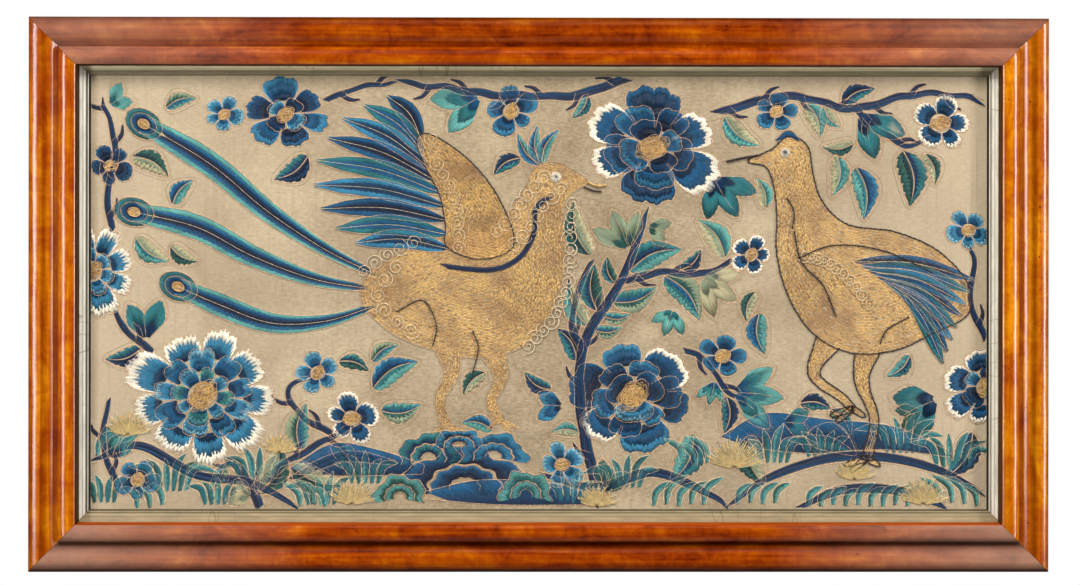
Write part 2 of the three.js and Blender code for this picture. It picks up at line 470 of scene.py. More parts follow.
FRAME_SIZE = {True: FRAME_WIDTH / MM, False: (RAIL_HIGH[2] - RAIL_LOW[2]) / MM}
for side, look in SIDES.items():
    turn, is_long = look["turn"], look["long"]
    rail = moulding(
        f"maple_rail_{side}", FACE, outer_length=FRAME_SIZE[is_long], turn=turn,
        reach=FRAME_SIZE[not is_long] / 2, centre=MIDDLE, forward=0.0,
        steps=RAIL_STEPS["long" if is_long else "short"], waver=RAIL_WAVER,
    )
    rail.data.materials.append(maple(side, look))
    rail.data.materials.append(shaded_inner_wall(side, look))
    on_ring = np.arange(len(rail.data.polygons)) % len(FACE)
    rail.data.polygons.foreach_set("material_index", (on_ring > LIP_POINT).astype(np.int32))
    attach(rail, "root")
    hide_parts(f"frame_rail_{side}")

# The slip: a thin inner moulding of gilded wood under the frame's lip, also mitred. It has a flat, a
# groove and a small bead at the sight edge. Its pale leaf has worn and cracked across in hairlines.
# Each side's leaf is painted paler or darker for how it is lit, with painted shade in the groove and
# painted shadow at the sight edge.
SLIP_LOW = np.minimum(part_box("slip_left")[0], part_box("slip_bottom")[0])
SLIP_HIGH = np.maximum(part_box("slip_right")[1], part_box("slip_top")[1])
SLIP_MIDDLE = np.array([0, 0, (SLIP_LOW[2] + SLIP_HIGH[2]) / 2])
SLIP_WIDTH = 18.5
SLIP_UNDERSIDE = 6.7
SLIP_CURVES = [  # as for the rail: a flat, a fine line, the groove, the bead and the sight edge
    ((3.0, -0.1), (3.0, -0.1), (10.6, 4.4)),
    ((0.3, -0.2), (-0.3, -0.2), (11.2, 4.4)),
    ((0.8, 0.0), (0.8, 0.0), (14.2, 4.2)),
    ((0.3, -0.2), (0.3, 0.5), (15.0, 3.0)),
    ((0.3, 0.5), (0.8, 0.1), (16.6, 3.8)),
    ((0.7, -0.05), (0.2, 0.6), (17.5, 2.2)),
    ((0.4, -0.4), (0.0, 0.3), (18.5, 0.4)),
]
SLIP_STEPS = 4
slip_face = curve_through((0, 4.8), SLIP_CURVES, SLIP_STEPS)
slip_section = np.array(slip_face + [np.array((SLIP_WIDTH, 0.0)), np.array((0.0, 0.0))])
SLIP_LIGHT_AND_SHADE = {  # the leaf's tone as each side is lit, how dark the shade painted in the groove and the shadow painted at the sight edge are, and the groove shade's spread in mm
    "bottom": dict(leaf=(164, 149, 116), groove=0.35, spread=0.6, edge=0.75),
    "left": dict(leaf=(252, 246, 226), groove=0.9, spread=1.2, edge=1.0),
    "top": dict(leaf=(240, 226, 182), groove=0.8, spread=3.0, edge=0.7),
    "right": dict(leaf=(252, 244, 222), groove=0.6, spread=1.2, edge=1.0),
}
SLIP_GIRTH = girth_of(slip_section) * MM
FINE_POINT, GROOVE_POINT, BEAD_POINT = 2 * SLIP_STEPS, 4 * SLIP_STEPS, 5 * SLIP_STEPS
SLIP_LENGTHS = 60  # steps along each slip


def gilt(side, tones):
    """Worn silvery gilding over a warm ground, cracked across, with painted shade along its groove and a
    painted shadow at its sight edge.
    """
    f = Finish(f"gilt_{side}", 0.4, Specular_IOR_Level=0.5)
    clouds = f.noise(f.where((30, 160, 1), "grain"), 1, 4, 0.6)
    # Painted light and shade: the leaf tone passed in for each side is paler or darker for how it is lit.
    dim = rgb(*(0.84 * part for part in tones["leaf"]))
    leaf = f.mix(f.step(clouds, 0.3, 0.7), dim, rgb(*tones["leaf"]))
    worn = f.step(f.noise(f.where((70, 220, 1), "grain"), 1, 5, 0.7), 0.6, 0.74)
    leaf = f.mix(f.times(worn, 0.4), leaf, rgb(146, 122, 84))
    across = f.noise(f.where((26, 5, 1), "grain"), 1, 2, 0.5)
    cracks = f.step(f.away(across, 0.5), 0.006, 0.001)
    patches = f.step(f.noise(f.where((7, 1, 1), "grain"), 1, 1), 0.5, 0.6)
    cracks = f.times(f.times(cracks, patches), 0.5)
    leaf = f.mix(cracks, leaf, rgb(96, 76, 48))
    girth = f.axis("Y", "grain")
    off_groove = f.away(girth, SLIP_GIRTH[GROOVE_POINT])
    groove_shade_mask = f.step(off_groove, (tones["spread"] + 0.9) * MM, tones["spread"] * MM)
    off_line = f.away(girth, SLIP_GIRTH[FINE_POINT])
    in_line = f.step(off_line, 0.9 * MM, 0.4 * MM)
    edge_shadow_mask = f.step(girth, SLIP_GIRTH[BEAD_POINT] + 0.2 * MM, SLIP_GIRTH[BEAD_POINT] + 1 * MM)
    leaf = f.mix(f.times(in_line, 0.45), leaf, rgb(110, 96, 66))
    # Painted shade in the groove, and painted shadow, near black, at the sight edge where the bead stands
    # over the cloth.
    leaf = f.mix(f.times(groove_shade_mask, tones["groove"]), leaf, rgb(84, 72, 44))
    leaf = f.mix(f.times(edge_shadow_mask, tones["edge"]), leaf, rgb(12, 10, 6))
    relief = f.bump(f.noise(f.where((200, 400, 1), "grain"), 1, 3, 0.6), 0.05)
    return f.wear(Base_Color=leaf, Normal=relief)


SLIP_SIZE = {True: (SLIP_HIGH[0] - SLIP_LOW[0]) / MM, False: (SLIP_HIGH[2] - SLIP_LOW[2]) / MM}
for side, look in SIDES.items():
    turn, is_long = look["turn"], look["long"]
    slip = moulding(
        f"gilt_slip_{side}", slip_section, outer_length=SLIP_SIZE[is_long], turn=turn,
        reach=SLIP_SIZE[not is_long] / 2, centre=SLIP_MIDDLE, forward=SLIP_UNDERSIDE,
        steps=SLIP_LENGTHS, waver=0.0,
    )
    slip.data.materials.append(gilt(side, SLIP_LIGHT_AND_SHADE[side]))
    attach(slip, "root")
    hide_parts(f"slip_{side}")

# The backing board: plain deal planks let into the rebate behind the cloth, unvarnished and dusty.
board_finish = Finish("old_deal", 0.8)
rings = board_finish.noise(board_finish.where((3, 1, 60)), 1, 4, 0.6, 0.6)
board_wood = board_finish.ramp(rings, [rgb(112, 86, 58), rgb(142, 114, 80), rgb(168, 140, 104)])
board_finish.wear(Base_Color=board_wood, Normal=board_finish.bump(rings, 0.2))
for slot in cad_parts["backing_board"].material_slots:
    slot.material = board_finish.material

# The ground cloth: beige silk with a fine crosswise rib, stretched over the board and held under the
# slip. It has cockled along the top and creased at the lower right, and is stained with age.
CLOTH_LOW, CLOTH_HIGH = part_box("embroidered_cloth")
CLOTH_HALF = np.subtract(CLOTH_HIGH, CLOTH_LOW)[[0, 2]] / (2 * MM)
CLOTH_MARGIN = 16.0
SIGHT_HALF = CLOTH_HALF - CLOTH_MARGIN
CLOTH_FACE = 6.4
CLOTH_THICKNESS = 1.8
LIFT_FADE = 30.0
COCKLES = [  # place from the sight's middle, direction, length, spread and height of each soft ridge
    dict(x=-395, z=165, turn=88, length=150, spread=16, lift=0.9),
    dict(x=-352, z=180, turn=93, length=120, spread=13, lift=0.8),
    dict(x=372, z=168, turn=91, length=160, spread=15, lift=1.0),
    dict(x=410, z=120, turn=84, length=170, spread=20, lift=0.6),
    dict(x=112, z=-168, turn=38, length=170, spread=14, lift=1.0),
    dict(x=182, z=-182, turn=22, length=150, spread=18, lift=0.7),
    dict(x=-60, z=-40, turn=70, length=260, spread=34, lift=0.6),
    dict(x=215, z=-70, turn=60, length=230, spread=32, lift=0.6),
    dict(x=-250, z=-120, turn=12, length=240, spread=30, lift=0.5),
]


def cloth_lift(x, z):
    """How far the cloth stands off its flat place, in mm, at points from the sight's middle."""
    inside = np.minimum(SIGHT_HALF[0] - np.abs(x), SIGHT_HALF[1] - np.abs(z))
    fade = np.clip(inside / LIFT_FADE, 0, 1)
    fade = fade * fade * (3 - 2 * fade)
    lift = np.zeros_like(x, float)
    for ridge in COCKLES:
        turn = math.radians(ridge["turn"])
        dx, dz = x - ridge["x"], z - ridge["z"]
        along = dx * math.cos(turn) + dz * math.sin(turn)
        aside = dz * math.cos(turn) - dx * math.sin(turn)
        end = 2 * along / ridge["length"]
        lift += ridge["lift"] * np.exp(-((aside / ridge["spread"]) ** 2) - end**4)
    return fade * lift


def on_cloth(x, z, height):
    """Points in metres, at this height in mm above the cloth's face."""
    y = -(CLOTH_FACE + cloth_lift(x, z) + height)
    return np.stack([x, y, z], -1) * MM + SLIP_MIDDLE


def silk_sheet(across, up):
    """The stretched cloth, one closed sheet."""
    columns = np.linspace(-1, 1, across + 1) * CLOTH_HALF[0]
    rows = np.linspace(-1, 1, up + 1) * CLOTH_HALF[1]
    x, z = np.meshgrid(columns, rows)
    front = on_cloth(x.ravel(), z.ravel(), 0.0)
    back = on_cloth(x.ravel(), z.ravel(), -CLOTH_THICKNESS)
    grid = np.arange((across + 1) * (up + 1)).reshape(up + 1, across + 1)
    total = grid.size
    quads = np.stack([grid[:-1, :-1], grid[:-1, 1:], grid[1:, 1:], grid[1:, :-1]], -1).reshape(-1, 4)
    faces = quads.tolist() + (quads[:, ::-1] + total).tolist()
    rim = np.concatenate([grid[0, :-1], grid[:-1, -1], grid[-1, :0:-1], grid[:0:-1, 0]])
    after = np.roll(rim, -1)
    faces += np.stack([rim, rim + total, after + total, after], 1).tolist()
    return mesh_object("silk_ground", np.concatenate([front, back]), faces)


def silk():
    """Ribbed beige silk, painted paler towards its left and right edges for the light falling there, with
    faint tide marks and warm stains.
    """
    f = Finish("silk", 0.62, Sheen_Weight=0.15, Sheen_Roughness=0.4, Specular_IOR_Level=0.25)
    rib = f.noise(f.where((120, 1, 1500)), 1, 2, 0.6)
    warp = f.noise(f.where((1500, 1, 160)), 1, 2, 0.6)
    clouds = f.noise(f.where((7, 7, 9)), 1, 6, 0.62, 0.3)
    slubs = f.noise(f.where((170, 1, 420)), 1, 3, 0.7)
    tone = f.add(f.times(clouds, 0.4), f.times(rib, 0.15))
    tone = f.add(tone, f.add(f.times(warp, 0.15), f.times(slubs, 0.3)))
    cloth = f.ramp(f.step(tone, 0.41, 0.59), [rgb(124, 107, 82), rgb(152, 135, 108), rgb(178, 161, 131)])
    # Painted light: the cloth is made paler towards its left and right edges, where the side lamps light it
    # more.
    out = f.step(f.away(f.axis("X"), 0.0), 0.1, 0.46)
    cloth = f.mix(f.times(out, 0.6), cloth, rgb(184, 166, 138))
    stains = f.step(f.noise(f.where((6, 6, 7)), 1, 5, 0.65, 0.8), 0.52, 0.74)
    cloth = f.mix(f.times(stains, 0.35), cloth, rgb(122, 98, 70))
    worn = f.step(f.noise(f.where((330, 1, 9)), 1, 2, 0.5), 0.56, 0.7)
    cloth = f.mix(f.times(f.times(worn, clouds), 0.4), cloth, rgb(132, 108, 76))
    wrinkles = f.bump(f.noise(f.where((60, 1, 7)), 1, 3, 0.6), 0.9)
    weave = f.bump(rib, 0.14, f.bump(slubs, 0.16, wrinkles))
    return f.wear(Base_Color=cloth, Normal=weave)


sheet = silk_sheet(160, 80)
sheet.data.materials.append(silk())
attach(sheet, "root")
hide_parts("embroidered_cloth")

# The embroidery's stitches: straight threads of untwisted silk floss, laid side by side so that they
# hide the cloth, both ends of each sunk in it. Cords are laid on top and tied down.
# All places are in mm from the middle of the sight opening.
rng = np.random.default_rng(11)
STITCH_PITCH = 1.1
STITCH_COVER = 1.35  # width of a stitch as a share of the room it has, so that neighbours overlap
STITCH_HEIGHT = 0.42
TOOTH_STITCHES = 5  # stitches in each tooth of a band's ragged end
SIGHT_CLEARANCE = 0.5
SUNK = -0.12  # height of a stitch's ends and edges, in the cloth
INKS = {
    "night": (14, 28, 52), "stem": (22, 36, 64), "navy": (14, 48, 78), "blue": (20, 76, 112),
    "sky": (46, 114, 146), "pale": (112, 160, 176), "white": (222, 214, 196), "pine": (16, 46, 50),
    "green": (36, 80, 74), "teal": (36, 102, 108), "aqua": (82, 142, 136), "sage": (126, 140, 114),
    "straw": (166, 160, 126), "peach": (208, 172, 138), "sand": (176, 146, 114), "cream": (214, 198, 166),
    "umber": (44, 27, 15), "gold": (232, 192, 122), "dull_gold": (178, 138, 96), "yellow": (198, 162, 94),
}
INKS = {name: np.array(rgb(*ink)[:3]) for name, ink in INKS.items()}
SLIVER = np.array([(0, 1, 4), (0, 4, 3), (1, 2, 5), (1, 5, 4), (0, 3, 5), (0, 5, 2), (0, 2, 1), (3, 4, 5)])


class Work:
    """Threads gathered for one object: their points, heights, colours and triangles."""

    def __init__(self):
        self.places, self.heights, self.colours, self.triangles = [], [], [], []
        self.count = 0

    def add(self, places, heights, colours, triangles):
        self.places.append(places)
        self.heights.append(heights)
        self.colours.append(colours)
        self.triangles.append(triangles + self.count)
        self.count += len(places)

    def sew(self, name, material, slot):
        """Makes the object, with each thread's colour kept on its points."""
        places, heights = np.concatenate(self.places), np.concatenate(self.heights)
        points = on_cloth(places[:, 0], places[:, 1], heights)
        made = mesh_object(name, points, np.concatenate(self.triangles))
        colours = np.concatenate(self.colours)
        dye = made.data.color_attributes.new("dye", "FLOAT_COLOR", "POINT")
        dye.data.foreach_set("color", np.c_[colours, np.ones(len(colours))].astype(np.float32).ravel())
        layer = made.data.uv_layers.new(name="OFBake")
        vertex = np.empty(len(made.data.loops), np.int32)
        made.data.loops.foreach_get("vertex_index", vertex)
        flat = 0.5 + places[vertex] / (2 * CLOTH_HALF)
        layer.uv.foreach_set("vector", flat.astype(np.float32).ravel())
        made.data.materials.append(material)
        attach(made, "root")


def unit(vectors):
    return vectors / np.maximum(np.linalg.norm(vectors, axis=-1, keepdims=True), 1e-9)


def span(line):
    """A line's length."""
    return np.linalg.norm(np.diff(line, axis=0), axis=1).sum()


def spaced(line, count):
    """The same line as this many places, evenly apart."""
    run = girth_of(line)
    at = np.linspace(0, run[-1], count)
    return np.stack([np.interp(at, run, line[:, 0]), np.interp(at, run, line[:, 1])], 1)


def curve(points, closed=False, step=1.5):
    """A smooth line through the points, as places about this step apart."""
    p = np.array(points, float)
    before, after = (p[-1:], p[:2]) if closed else (2 * p[:1] - p[1:2], 2 * p[-1:] - p[-2:-1])
    p = np.concatenate([before, p, after])
    a, b, c, d = p[:-3], p[1:-2], p[2:-1], p[3:]
    t = np.arange(12)[:, None, None] / 12
    line = 0.5 * (2 * b + (c - a) * t + (2 * a - 5 * b + 4 * c - d) * t**2 + (3 * b - a - 3 * c + d) * t**3)
    line = np.concatenate([line.transpose(1, 0, 2).reshape(-1, 2), p[-2:-1]])
    return spaced(line, max(4, int(span(line) / step) + 1))


def around(angle, radius=1.0):
    """Places at these angles, in radians, and at this distance or these distances from the origin."""
    return np.stack([radius * np.cos(angle), radius * np.sin(angle)], -1)


def placed(points, x, z, turn=0.0, squash=1.0, flip=1.0):
    """Local places turned by degrees and set down at x and z."""
    a = math.radians(turn)
    along, aside = points[:, 0], points[:, 1] * squash * flip
    across = x + along * math.cos(a) - aside * math.sin(a)
    up = z + along * math.sin(a) + aside * math.cos(a)
    return np.stack([across, up], 1)


def mottle(places, size, seed):
    """A soft random value from about -1 to 1 at each place."""
    waves = np.random.default_rng(seed)
    total = np.zeros(len(places))
    for _ in range(6):
        ways = waves.normal(0, 1 / size, 2)
        total += np.sin(places @ ways * 2 + waves.uniform(0, 6.3))
    return total / 3


def stitches(work, start, end, width, height, colour):
    """Straight threads, each a closed ridge from start to end, cut off at the sight edge."""
    run = end - start
    low, high = np.zeros(len(run)), np.ones(len(run))
    for axis, half in enumerate(SIGHT_HALF):
        slope = np.where(np.abs(run[:, axis]) < 1e-9, 1e-9, run[:, axis])
        one = (half - SIGHT_CLEARANCE - start[:, axis]) / slope
        two = (SIGHT_CLEARANCE - half - start[:, axis]) / slope
        low = np.maximum(low, np.minimum(one, two))
        high = np.minimum(high, np.maximum(one, two))
    length = np.linalg.norm(run, axis=1) * (high - low)
    keep = (high > low) & (length > 0.5)
    start, end = (start + run * low[:, None])[keep], (start + run * high[:, None])[keep]
    ahead = unit(end - start)
    aside = np.stack([-ahead[:, 1], ahead[:, 0]], 1) * width[keep, None] / 2
    places = np.stack([start + aside, start, start - aside, end + aside, end, end - aside], 1)
    heights = np.full((len(start), 6), SUNK)
    heights[:, [1, 4]] = height[keep, None]
    faces = SLIVER[None] + 6 * np.arange(len(start))[:, None, None]
    work.add(places.reshape(-1, 2), heights.ravel(), np.repeat(colour[keep], 6, 0), faces.reshape(-1, 3))


def fan(work, base, tip, bands, pad=0.35, lift=0.0):
    """Satin stitch from one curve to another. Each band has its end, from 0 to 1, its raggedness in mm
    and its ink, and neighbouring bands mesh like long and short stitches."""
    count = max(4, int(max(span(base), span(tip)) / STITCH_PITCH) + 1)
    base, tip = spaced(base, count), spaced(tip, count)
    reach = tip - base
    length = np.maximum(np.linalg.norm(reach, axis=1), 0.1)
    across = np.linspace(0, 1, count)
    saw = 2 * np.abs(2 * ((np.arange(count) / TOOTH_STITCHES) % 1) - 1) - 1
    gap = np.stack([np.linalg.norm(np.gradient(line, axis=0), axis=1) for line in (base, tip)])
    begin = np.zeros(count)
    for i, (stop, ragged, ink) in enumerate(bands):
        finish = stop + ragged * (0.6 * saw + 0.5 * rng.uniform(-1, 1, count)) / length
        finish = np.clip(finish, begin + 0.02, 1.15)
        middle = (begin + finish) / 2
        width = STITCH_COVER * np.maximum(gap[0] * (1 - middle) + gap[1] * middle, 0.3)
        rise = STITCH_HEIGHT + lift + pad * 4 * across * (1 - across) + rng.uniform(-0.08, 0.08, count)
        shade = 1 + 0.16 * mottle(base + tip, 22, 5 + i) + rng.normal(0, 0.13, count)
        start, end = base + reach * begin[:, None], base + reach * finish[:, None]
        stitches(work, start, end, width, rise, INKS[ink] * np.clip(shade, 0.5, 1.6)[:, None])
        begin = finish - 0.4 / length


def cord(work, line, width, ink, lift=0.0, tie=0.25, shown=True):
    """A laid cord, pinched where it is tied down, cut off at the sight edge and where it isn't shown."""
    line = np.asarray(line)
    inside = (np.abs(line) < SIGHT_HALF - SIGHT_CLEARANCE - width).all(1) & shown
    edges = np.flatnonzero(np.diff(np.concatenate([[False], inside, [False]]).astype(int)))
    for first, last in edges.reshape(-1, 2):
        if last - first < 3:
            continue
        part = line[first:last]
        count = len(part)
        ahead = unit(np.gradient(part, axis=0))
        pinch = 1 - tie * (np.arange(count) % 2) + rng.uniform(-0.1, 0.1, count)
        aside = np.stack([-ahead[:, 1], ahead[:, 0]], 1) * (pinch * width / 2)[:, None]
        places = np.stack([part + aside, part, part - aside], 1).reshape(-1, 2)
        heights = np.stack([np.full(count, -0.1), lift + 0.2 + width * 0.8 * pinch, np.full(count, -0.1)], 1)
        ring = 3 * np.arange(count - 1)[:, None]
        walls = []
        for k in range(3):
            n = (k + 1) % 3
            walls.append(np.hstack([ring + k, ring + 3 + n, ring + 3 + k]))
            walls.append(np.hstack([ring + k, ring + n, ring + 3 + n]))
        tail = 3 * (count - 1)
        walls += [np.array([(0, 2, 1)]), np.array([(tail, tail + 1, tail + 2)])]
        shade = np.clip(1 + rng.normal(0, 0.16, count), 0.5, 1.5)
        work.add(places, heights.ravel(), np.repeat(INKS[ink] * shade[:, None], 3, 0), np.concatenate(walls))


def band_edges(line, width, shape):
    """The two edges of a band along a line. Shape gives its share of the width from start to end."""
    at = np.linspace(0, 1, len(line))
    wide = width / 2 * np.interp(at, np.linspace(0, 1, len(shape)), shape)
    ahead = unit(np.gradient(line, axis=0))
    aside = np.stack([-ahead[:, 1], ahead[:, 0]], 1) * wide[:, None]
    return line + aside, line - aside


def part_of(line, low, high):
    """The stretch of a line between two shares of its places."""
    return line[int(low * (len(line) - 1)): int(high * (len(line) - 1)) + 1]


def closed(line):
    return np.concatenate([line, line[:2]])


laid, curls = Work(), Work()
EVEN = (0.9, 1.0, 1.0, 1.0, 0.9)
DAGGER = (0.5, 0.9, 1.0, 0.8, 0.05)
CORD_STEP = 2.6
SLANT = 0.06  # how far a slanting stitch leans, as a share of the line


def outline_cord(line, width, ink, lift=0.0):
    """A thin cord along a line, in short tied lengths."""
    cord(laid, spaced(line, max(4, int(span(line) / CORD_STEP))), width, ink, lift)


def slanted(line, width, bands, shape=EVEN, outline="peach", lift=0.0):
    """A stem, blade or feather sewn across in slanting stitches, with a fine cord along both edges."""
    left, right = band_edges(line, width, shape)
    fan(satin, part_of(left, 0, 1 - SLANT), part_of(right, SLANT, 1), bands, lift=lift, pad=0.3)
    if outline:
        for edge in band_edges(line, width + 3.0, shape):
            outline_cord(edge, 0.8, outline, lift)


def leaf(x, z, turn, length, width, near, far, flip=1.0, teeth=True):
    """A leaf of two halves, sewn outwards from a bare rib, with saw-toothed edges and two outlines."""
    s = np.linspace(0, 1, 60)
    rib = np.stack([length * s, 0.13 * length * np.sin(math.pi * s)], 1)
    swell = np.sin(math.pi * s**0.75) ** 0.85
    saw = 1 + (0.24 * (((s * length / 8.5) % 1) - 0.5) if teeth else 0)
    for side, bands in ((1, near), (-1, far)):
        edge = rib + side * np.stack([0 * s, width / 2 * swell * saw + 0.3], 1)
        vein = rib + side * np.array([0, 0.8])
        base = placed(part_of(vein, 0.02, 0.86), x, z, turn, flip=flip)
        tip = placed(part_of(edge, 0.12, 1.0), x, z, turn, flip=flip)
        fan(satin, base, tip, bands, pad=0.25)
    for off, thick, ink in ((1.9, 0.85, "peach"), (5.2, 0.5, "sand")):
        upper, lower = (rib + side * np.stack([0 * s, width / 2 * swell + off], 1) for side in (1, -1))
        point, foot = rib[-1] + (off, 0), rib[0] - (off * 0.6, 0)
        loop = np.concatenate([upper, [point], lower[::-1], [foot], upper[:1]])
        outline_cord(placed(loop, x, z, turn, flip=flip), thick, ink)
    outline_cord(placed(rib[2:-4], x, z, turn, flip=flip), 0.7, "peach")


def lobed(x, z, turn, size, bands, lobes, wide, flip):
    """A leaf that opens from its root into pointed lobes, in bands that follow its edge."""
    u = np.linspace(0, 1, 72)
    angle = np.radians((u - 0.5) * 2 * wide)
    point = 1 - np.abs(2 * ((lobes * u) % 1) - 1)
    reach = size * (0.58 + 0.42 * point**0.8) * (0.74 + 0.26 * np.cos(angle)) * (1 - 0.12 * u)
    lines = []
    for radius in (np.full(len(u), 0.1 * size), reach, reach + 2.2, reach + 5.5):
        lines.append(placed(around(angle, radius), x, z, turn, flip=flip))
    fan(satin, lines[0], lines[1], bands, pad=0.3)
    for line, thick, ink in ((lines[2], 0.85, "peach"), (lines[3], 0.5, "sand")):
        outline_cord(np.concatenate([lines[0][:1], line, lines[0][-1:]]), thick, ink)
    middle = placed(np.array([(0.12, 0.0), (0.5, 0.02), (0.74, 0.0)]) * size, x, z, turn, flip=flip)
    outline_cord(curve(middle), 0.7, "peach", 0.45)


def petal(flower, low, high, inner, outer, bands, lobes, lift):
    """One petal between two angles and two radii of a flower, with a scalloped edge and an outline."""
    x, z, turn, squash = flower
    u = np.linspace(0, 1, 64)
    margin = 0.03 * (high - low)
    angle = np.radians(low + margin + (high - low - 2 * margin) * u)
    round_edge = (1 - np.abs(2 * u - 1) ** 3) ** 0.45
    frill = 0.92 + 0.12 * np.abs(np.sin(math.pi * lobes * u)) + 0.02 * np.sin(u * 61)
    reach = inner + (outer - inner) * (0.25 + 0.75 * round_edge) * frill
    lines = []
    for radius in (np.full(len(u), inner + 0.6), reach, reach + 1.5):
        lines.append(placed(around(angle, radius), x, z, turn, squash))
    fan(satin, lines[0], lines[1], bands, lift=lift)
    outline_cord(np.concatenate([lines[0][:1], lines[2], lines[0][-1:]]), 0.9, "peach", lift)


DARK = [(0.5, 1.4, "night"), (1.0, 0.8, "navy")]
DEEP = [(0.42, 1.4, "night"), (0.82, 1.6, "navy"), (1.0, 0.8, "blue")]
BRIGHT = [(0.3, 1.6, "navy"), (0.74, 2.0, "blue"), (1.0, 0.8, "sky")]
SOFT = [(0.4, 1.5, "blue"), (0.8, 2.2, "sky"), (1.0, 0.8, "pale")]
RIMMED = [(0.38, 1.8, "navy"), (0.8, 1.8, "blue"), (1.0, 0.8, "white")]
RAGGED = [(0.3, 2.6, "navy"), (0.72, 4.0, "sky"), (1.0, 2.6, "white")]
SEA = [(0.45, 2.6, "navy"), (1.0, 1.0, "teal")]
MOSS = [(0.4, 2.4, "pine"), (1.0, 1.0, "green")]
FOAM = [(0.4, 2.4, "teal"), (1.0, 1.0, "aqua")]
TIDE = [(0.34, 2.4, "blue"), (0.7, 2.4, "teal"), (1.0, 1.0, "aqua")]
WORN = [(0.45, 2.4, "sage"), (1.0, 1.4, "straw")]
FADED = [(0.4, 2.4, "green"), (1.0, 1.4, "sage")]
LEAF_TONES = [  # the tones of a toothed leaf's two halves
    (SEA, MOSS), (BRIGHT, FOAM), (MOSS, WORN), (SEA, FOAM), (DARK, SEA), (FOAM, WORN), (FADED, TIDE),
]
LOBE_TONES = [SEA, TIDE, MOSS, FADED, WORN, FOAM, SEA, MOSS, TIDE, BRIGHT]

# The birds: gilt thread laid in rows that follow each shape's edge and tied down with silk, in a
# generic pair of long-legged birds. Their bodies are gold, their wings and tails are sewn in blues.
satin, gold = Work(), Work()
needlework = {"satin_birds": satin}  # satin is the work in hand, and each section starts its own
ROW_PITCH = 1.6
GOLD_STITCH = {"length": 4.0, "width": 1.45, "height": 0.5}
CURL_TURNS = 1.7


def depth_in(places, outline):
    """How far places lie inside a closed outline, and the way inwards from its nearest edge."""
    a, b = outline, np.roll(outline, -1, 0)
    side = b - a
    long = np.maximum((side * side).sum(1), 1e-9)
    depth, inwards = [], []
    for some in np.array_split(places, len(places) // 4000 + 1):
        rel = some[:, None] - a[None]
        along = np.clip((rel * side).sum(2) / long, 0, 1)
        off = rel - along[..., None] * side
        far = np.linalg.norm(off, axis=2)
        near = far.argmin(1)
        rows = np.arange(len(some))
        over = (a[None, :, 1] > some[:, None, 1]) != (b[None, :, 1] > some[:, None, 1])
        slope = np.where(np.abs(side[:, 1]) < 1e-9, 1e-9, side[:, 1])
        cross = a[:, 0] + side[:, 0] * (some[:, None, 1] - a[:, 1]) / slope
        sign = np.where((over & (some[:, None, 0] < cross)).sum(1) % 2 == 1, 1.0, -1.0)
        depth.append(far[rows, near] * sign)
        inwards.append(unit(off[rows, near]) * sign[:, None])
    return np.concatenate(depth), np.concatenate(inwards)


def couch(outlines, seed, lift=0.0):
    """Fills shapes that touch or overlap with rows of couched gold, which follow their edges."""
    corners = np.concatenate(outlines)
    low, high = corners.min(0), corners.max(0)
    step = ROW_PITCH * 1.2
    x, z = np.meshgrid(np.arange(low[0], high[0], step), np.arange(low[1], high[1], step))
    places = np.stack([x.ravel(), z.ravel()], 1)
    places += rng.uniform(-0.5, 0.5, places.shape) * ROW_PITCH
    found = [depth_in(places, outline) for outline in outlines]
    depths = np.stack([depth for depth, _ in found])
    best = depths.argmax(0)
    rows = np.arange(len(places))
    depth, inwards = depths[best, rows], np.stack([way for _, way in found])[best, rows]
    keep = depth > 0.2
    places, depth, inwards = places[keep], depth[keep], inwards[keep]
    row = np.floor(depth / ROW_PITCH)
    places = places + inwards * ((row + 0.5) * ROW_PITCH - depth)[:, None]
    along = np.stack([-inwards[:, 1], inwards[:, 0]], 1)
    half = GOLD_STITCH["length"] / 2 * rng.uniform(0.7, 1.15, (len(places), 1))
    dull = np.clip(0.3 + 0.4 * mottle(places, 30, seed) + 0.25 * mottle(places, 10, seed + 1), 0, 1)
    dull = np.where(rng.random(len(places)) < 0.1, 1.0, dull)[:, None]
    ink = INKS["gold"] * (1 - dull) + INKS["dull_gold"] * dull
    ink = ink * rng.uniform(0.8, 1.14, (len(places), 1)) * (1 - 0.12 * (row % 2))[:, None]
    rise = GOLD_STITCH["height"] + lift + rng.uniform(0, 0.3, len(places))
    width = np.full(len(places), GOLD_STITCH["width"])
    stitches(gold, places - along * half, places + along * half, width, rise, ink)


def limb(points, width, shape):
    """The outline of a leg, toe or antenna along a smooth line."""
    left, right = band_edges(curve(points), width, shape)
    return np.concatenate([left, right[::-1]])


def edging(outline, width, ink, lift=0.2, under=None):
    """A rough cord along the outside of a closed outline, left off where it is under another shape."""
    loop = spaced(closed(outline), max(12, int(span(outline) / CORD_STEP)))
    ahead = unit(np.gradient(loop, axis=0))
    aside = np.stack([ahead[:, 1], -ahead[:, 0]], 1)
    after = np.roll(outline, -1, 0)
    turn = np.sign((outline[:, 0] * after[:, 1] - after[:, 0] * outline[:, 1]).sum())
    off = 0.9 + rng.uniform(-0.25, 0.25, (len(loop), 1))
    shown = True if under is None else depth_in(loop, under)[0] < 1.5
    cord(curls, loop + aside * turn * off, width, ink, lift, tie=0.35, shown=shown)


def feather(points, width, bands, lift, shape=(0.3, 0.8, 1.0, 1.0, 0.75, 0.15)):
    """A long feather: barbs slanting out from a quill on both sides, with a corded edge."""
    quill = curve(points)
    left, right = band_edges(quill, width, shape)
    for edge in (left, right):
        fan(satin, part_of(quill, 0, 0.9), part_of(edge, 0.1, 1), bands, lift=lift, pad=0.2)
        outline_cord(edge + (edge - quill) * 0.08, 0.85, "peach", lift)
    outline_cord(quill, 0.8, "cream", lift + 0.4)


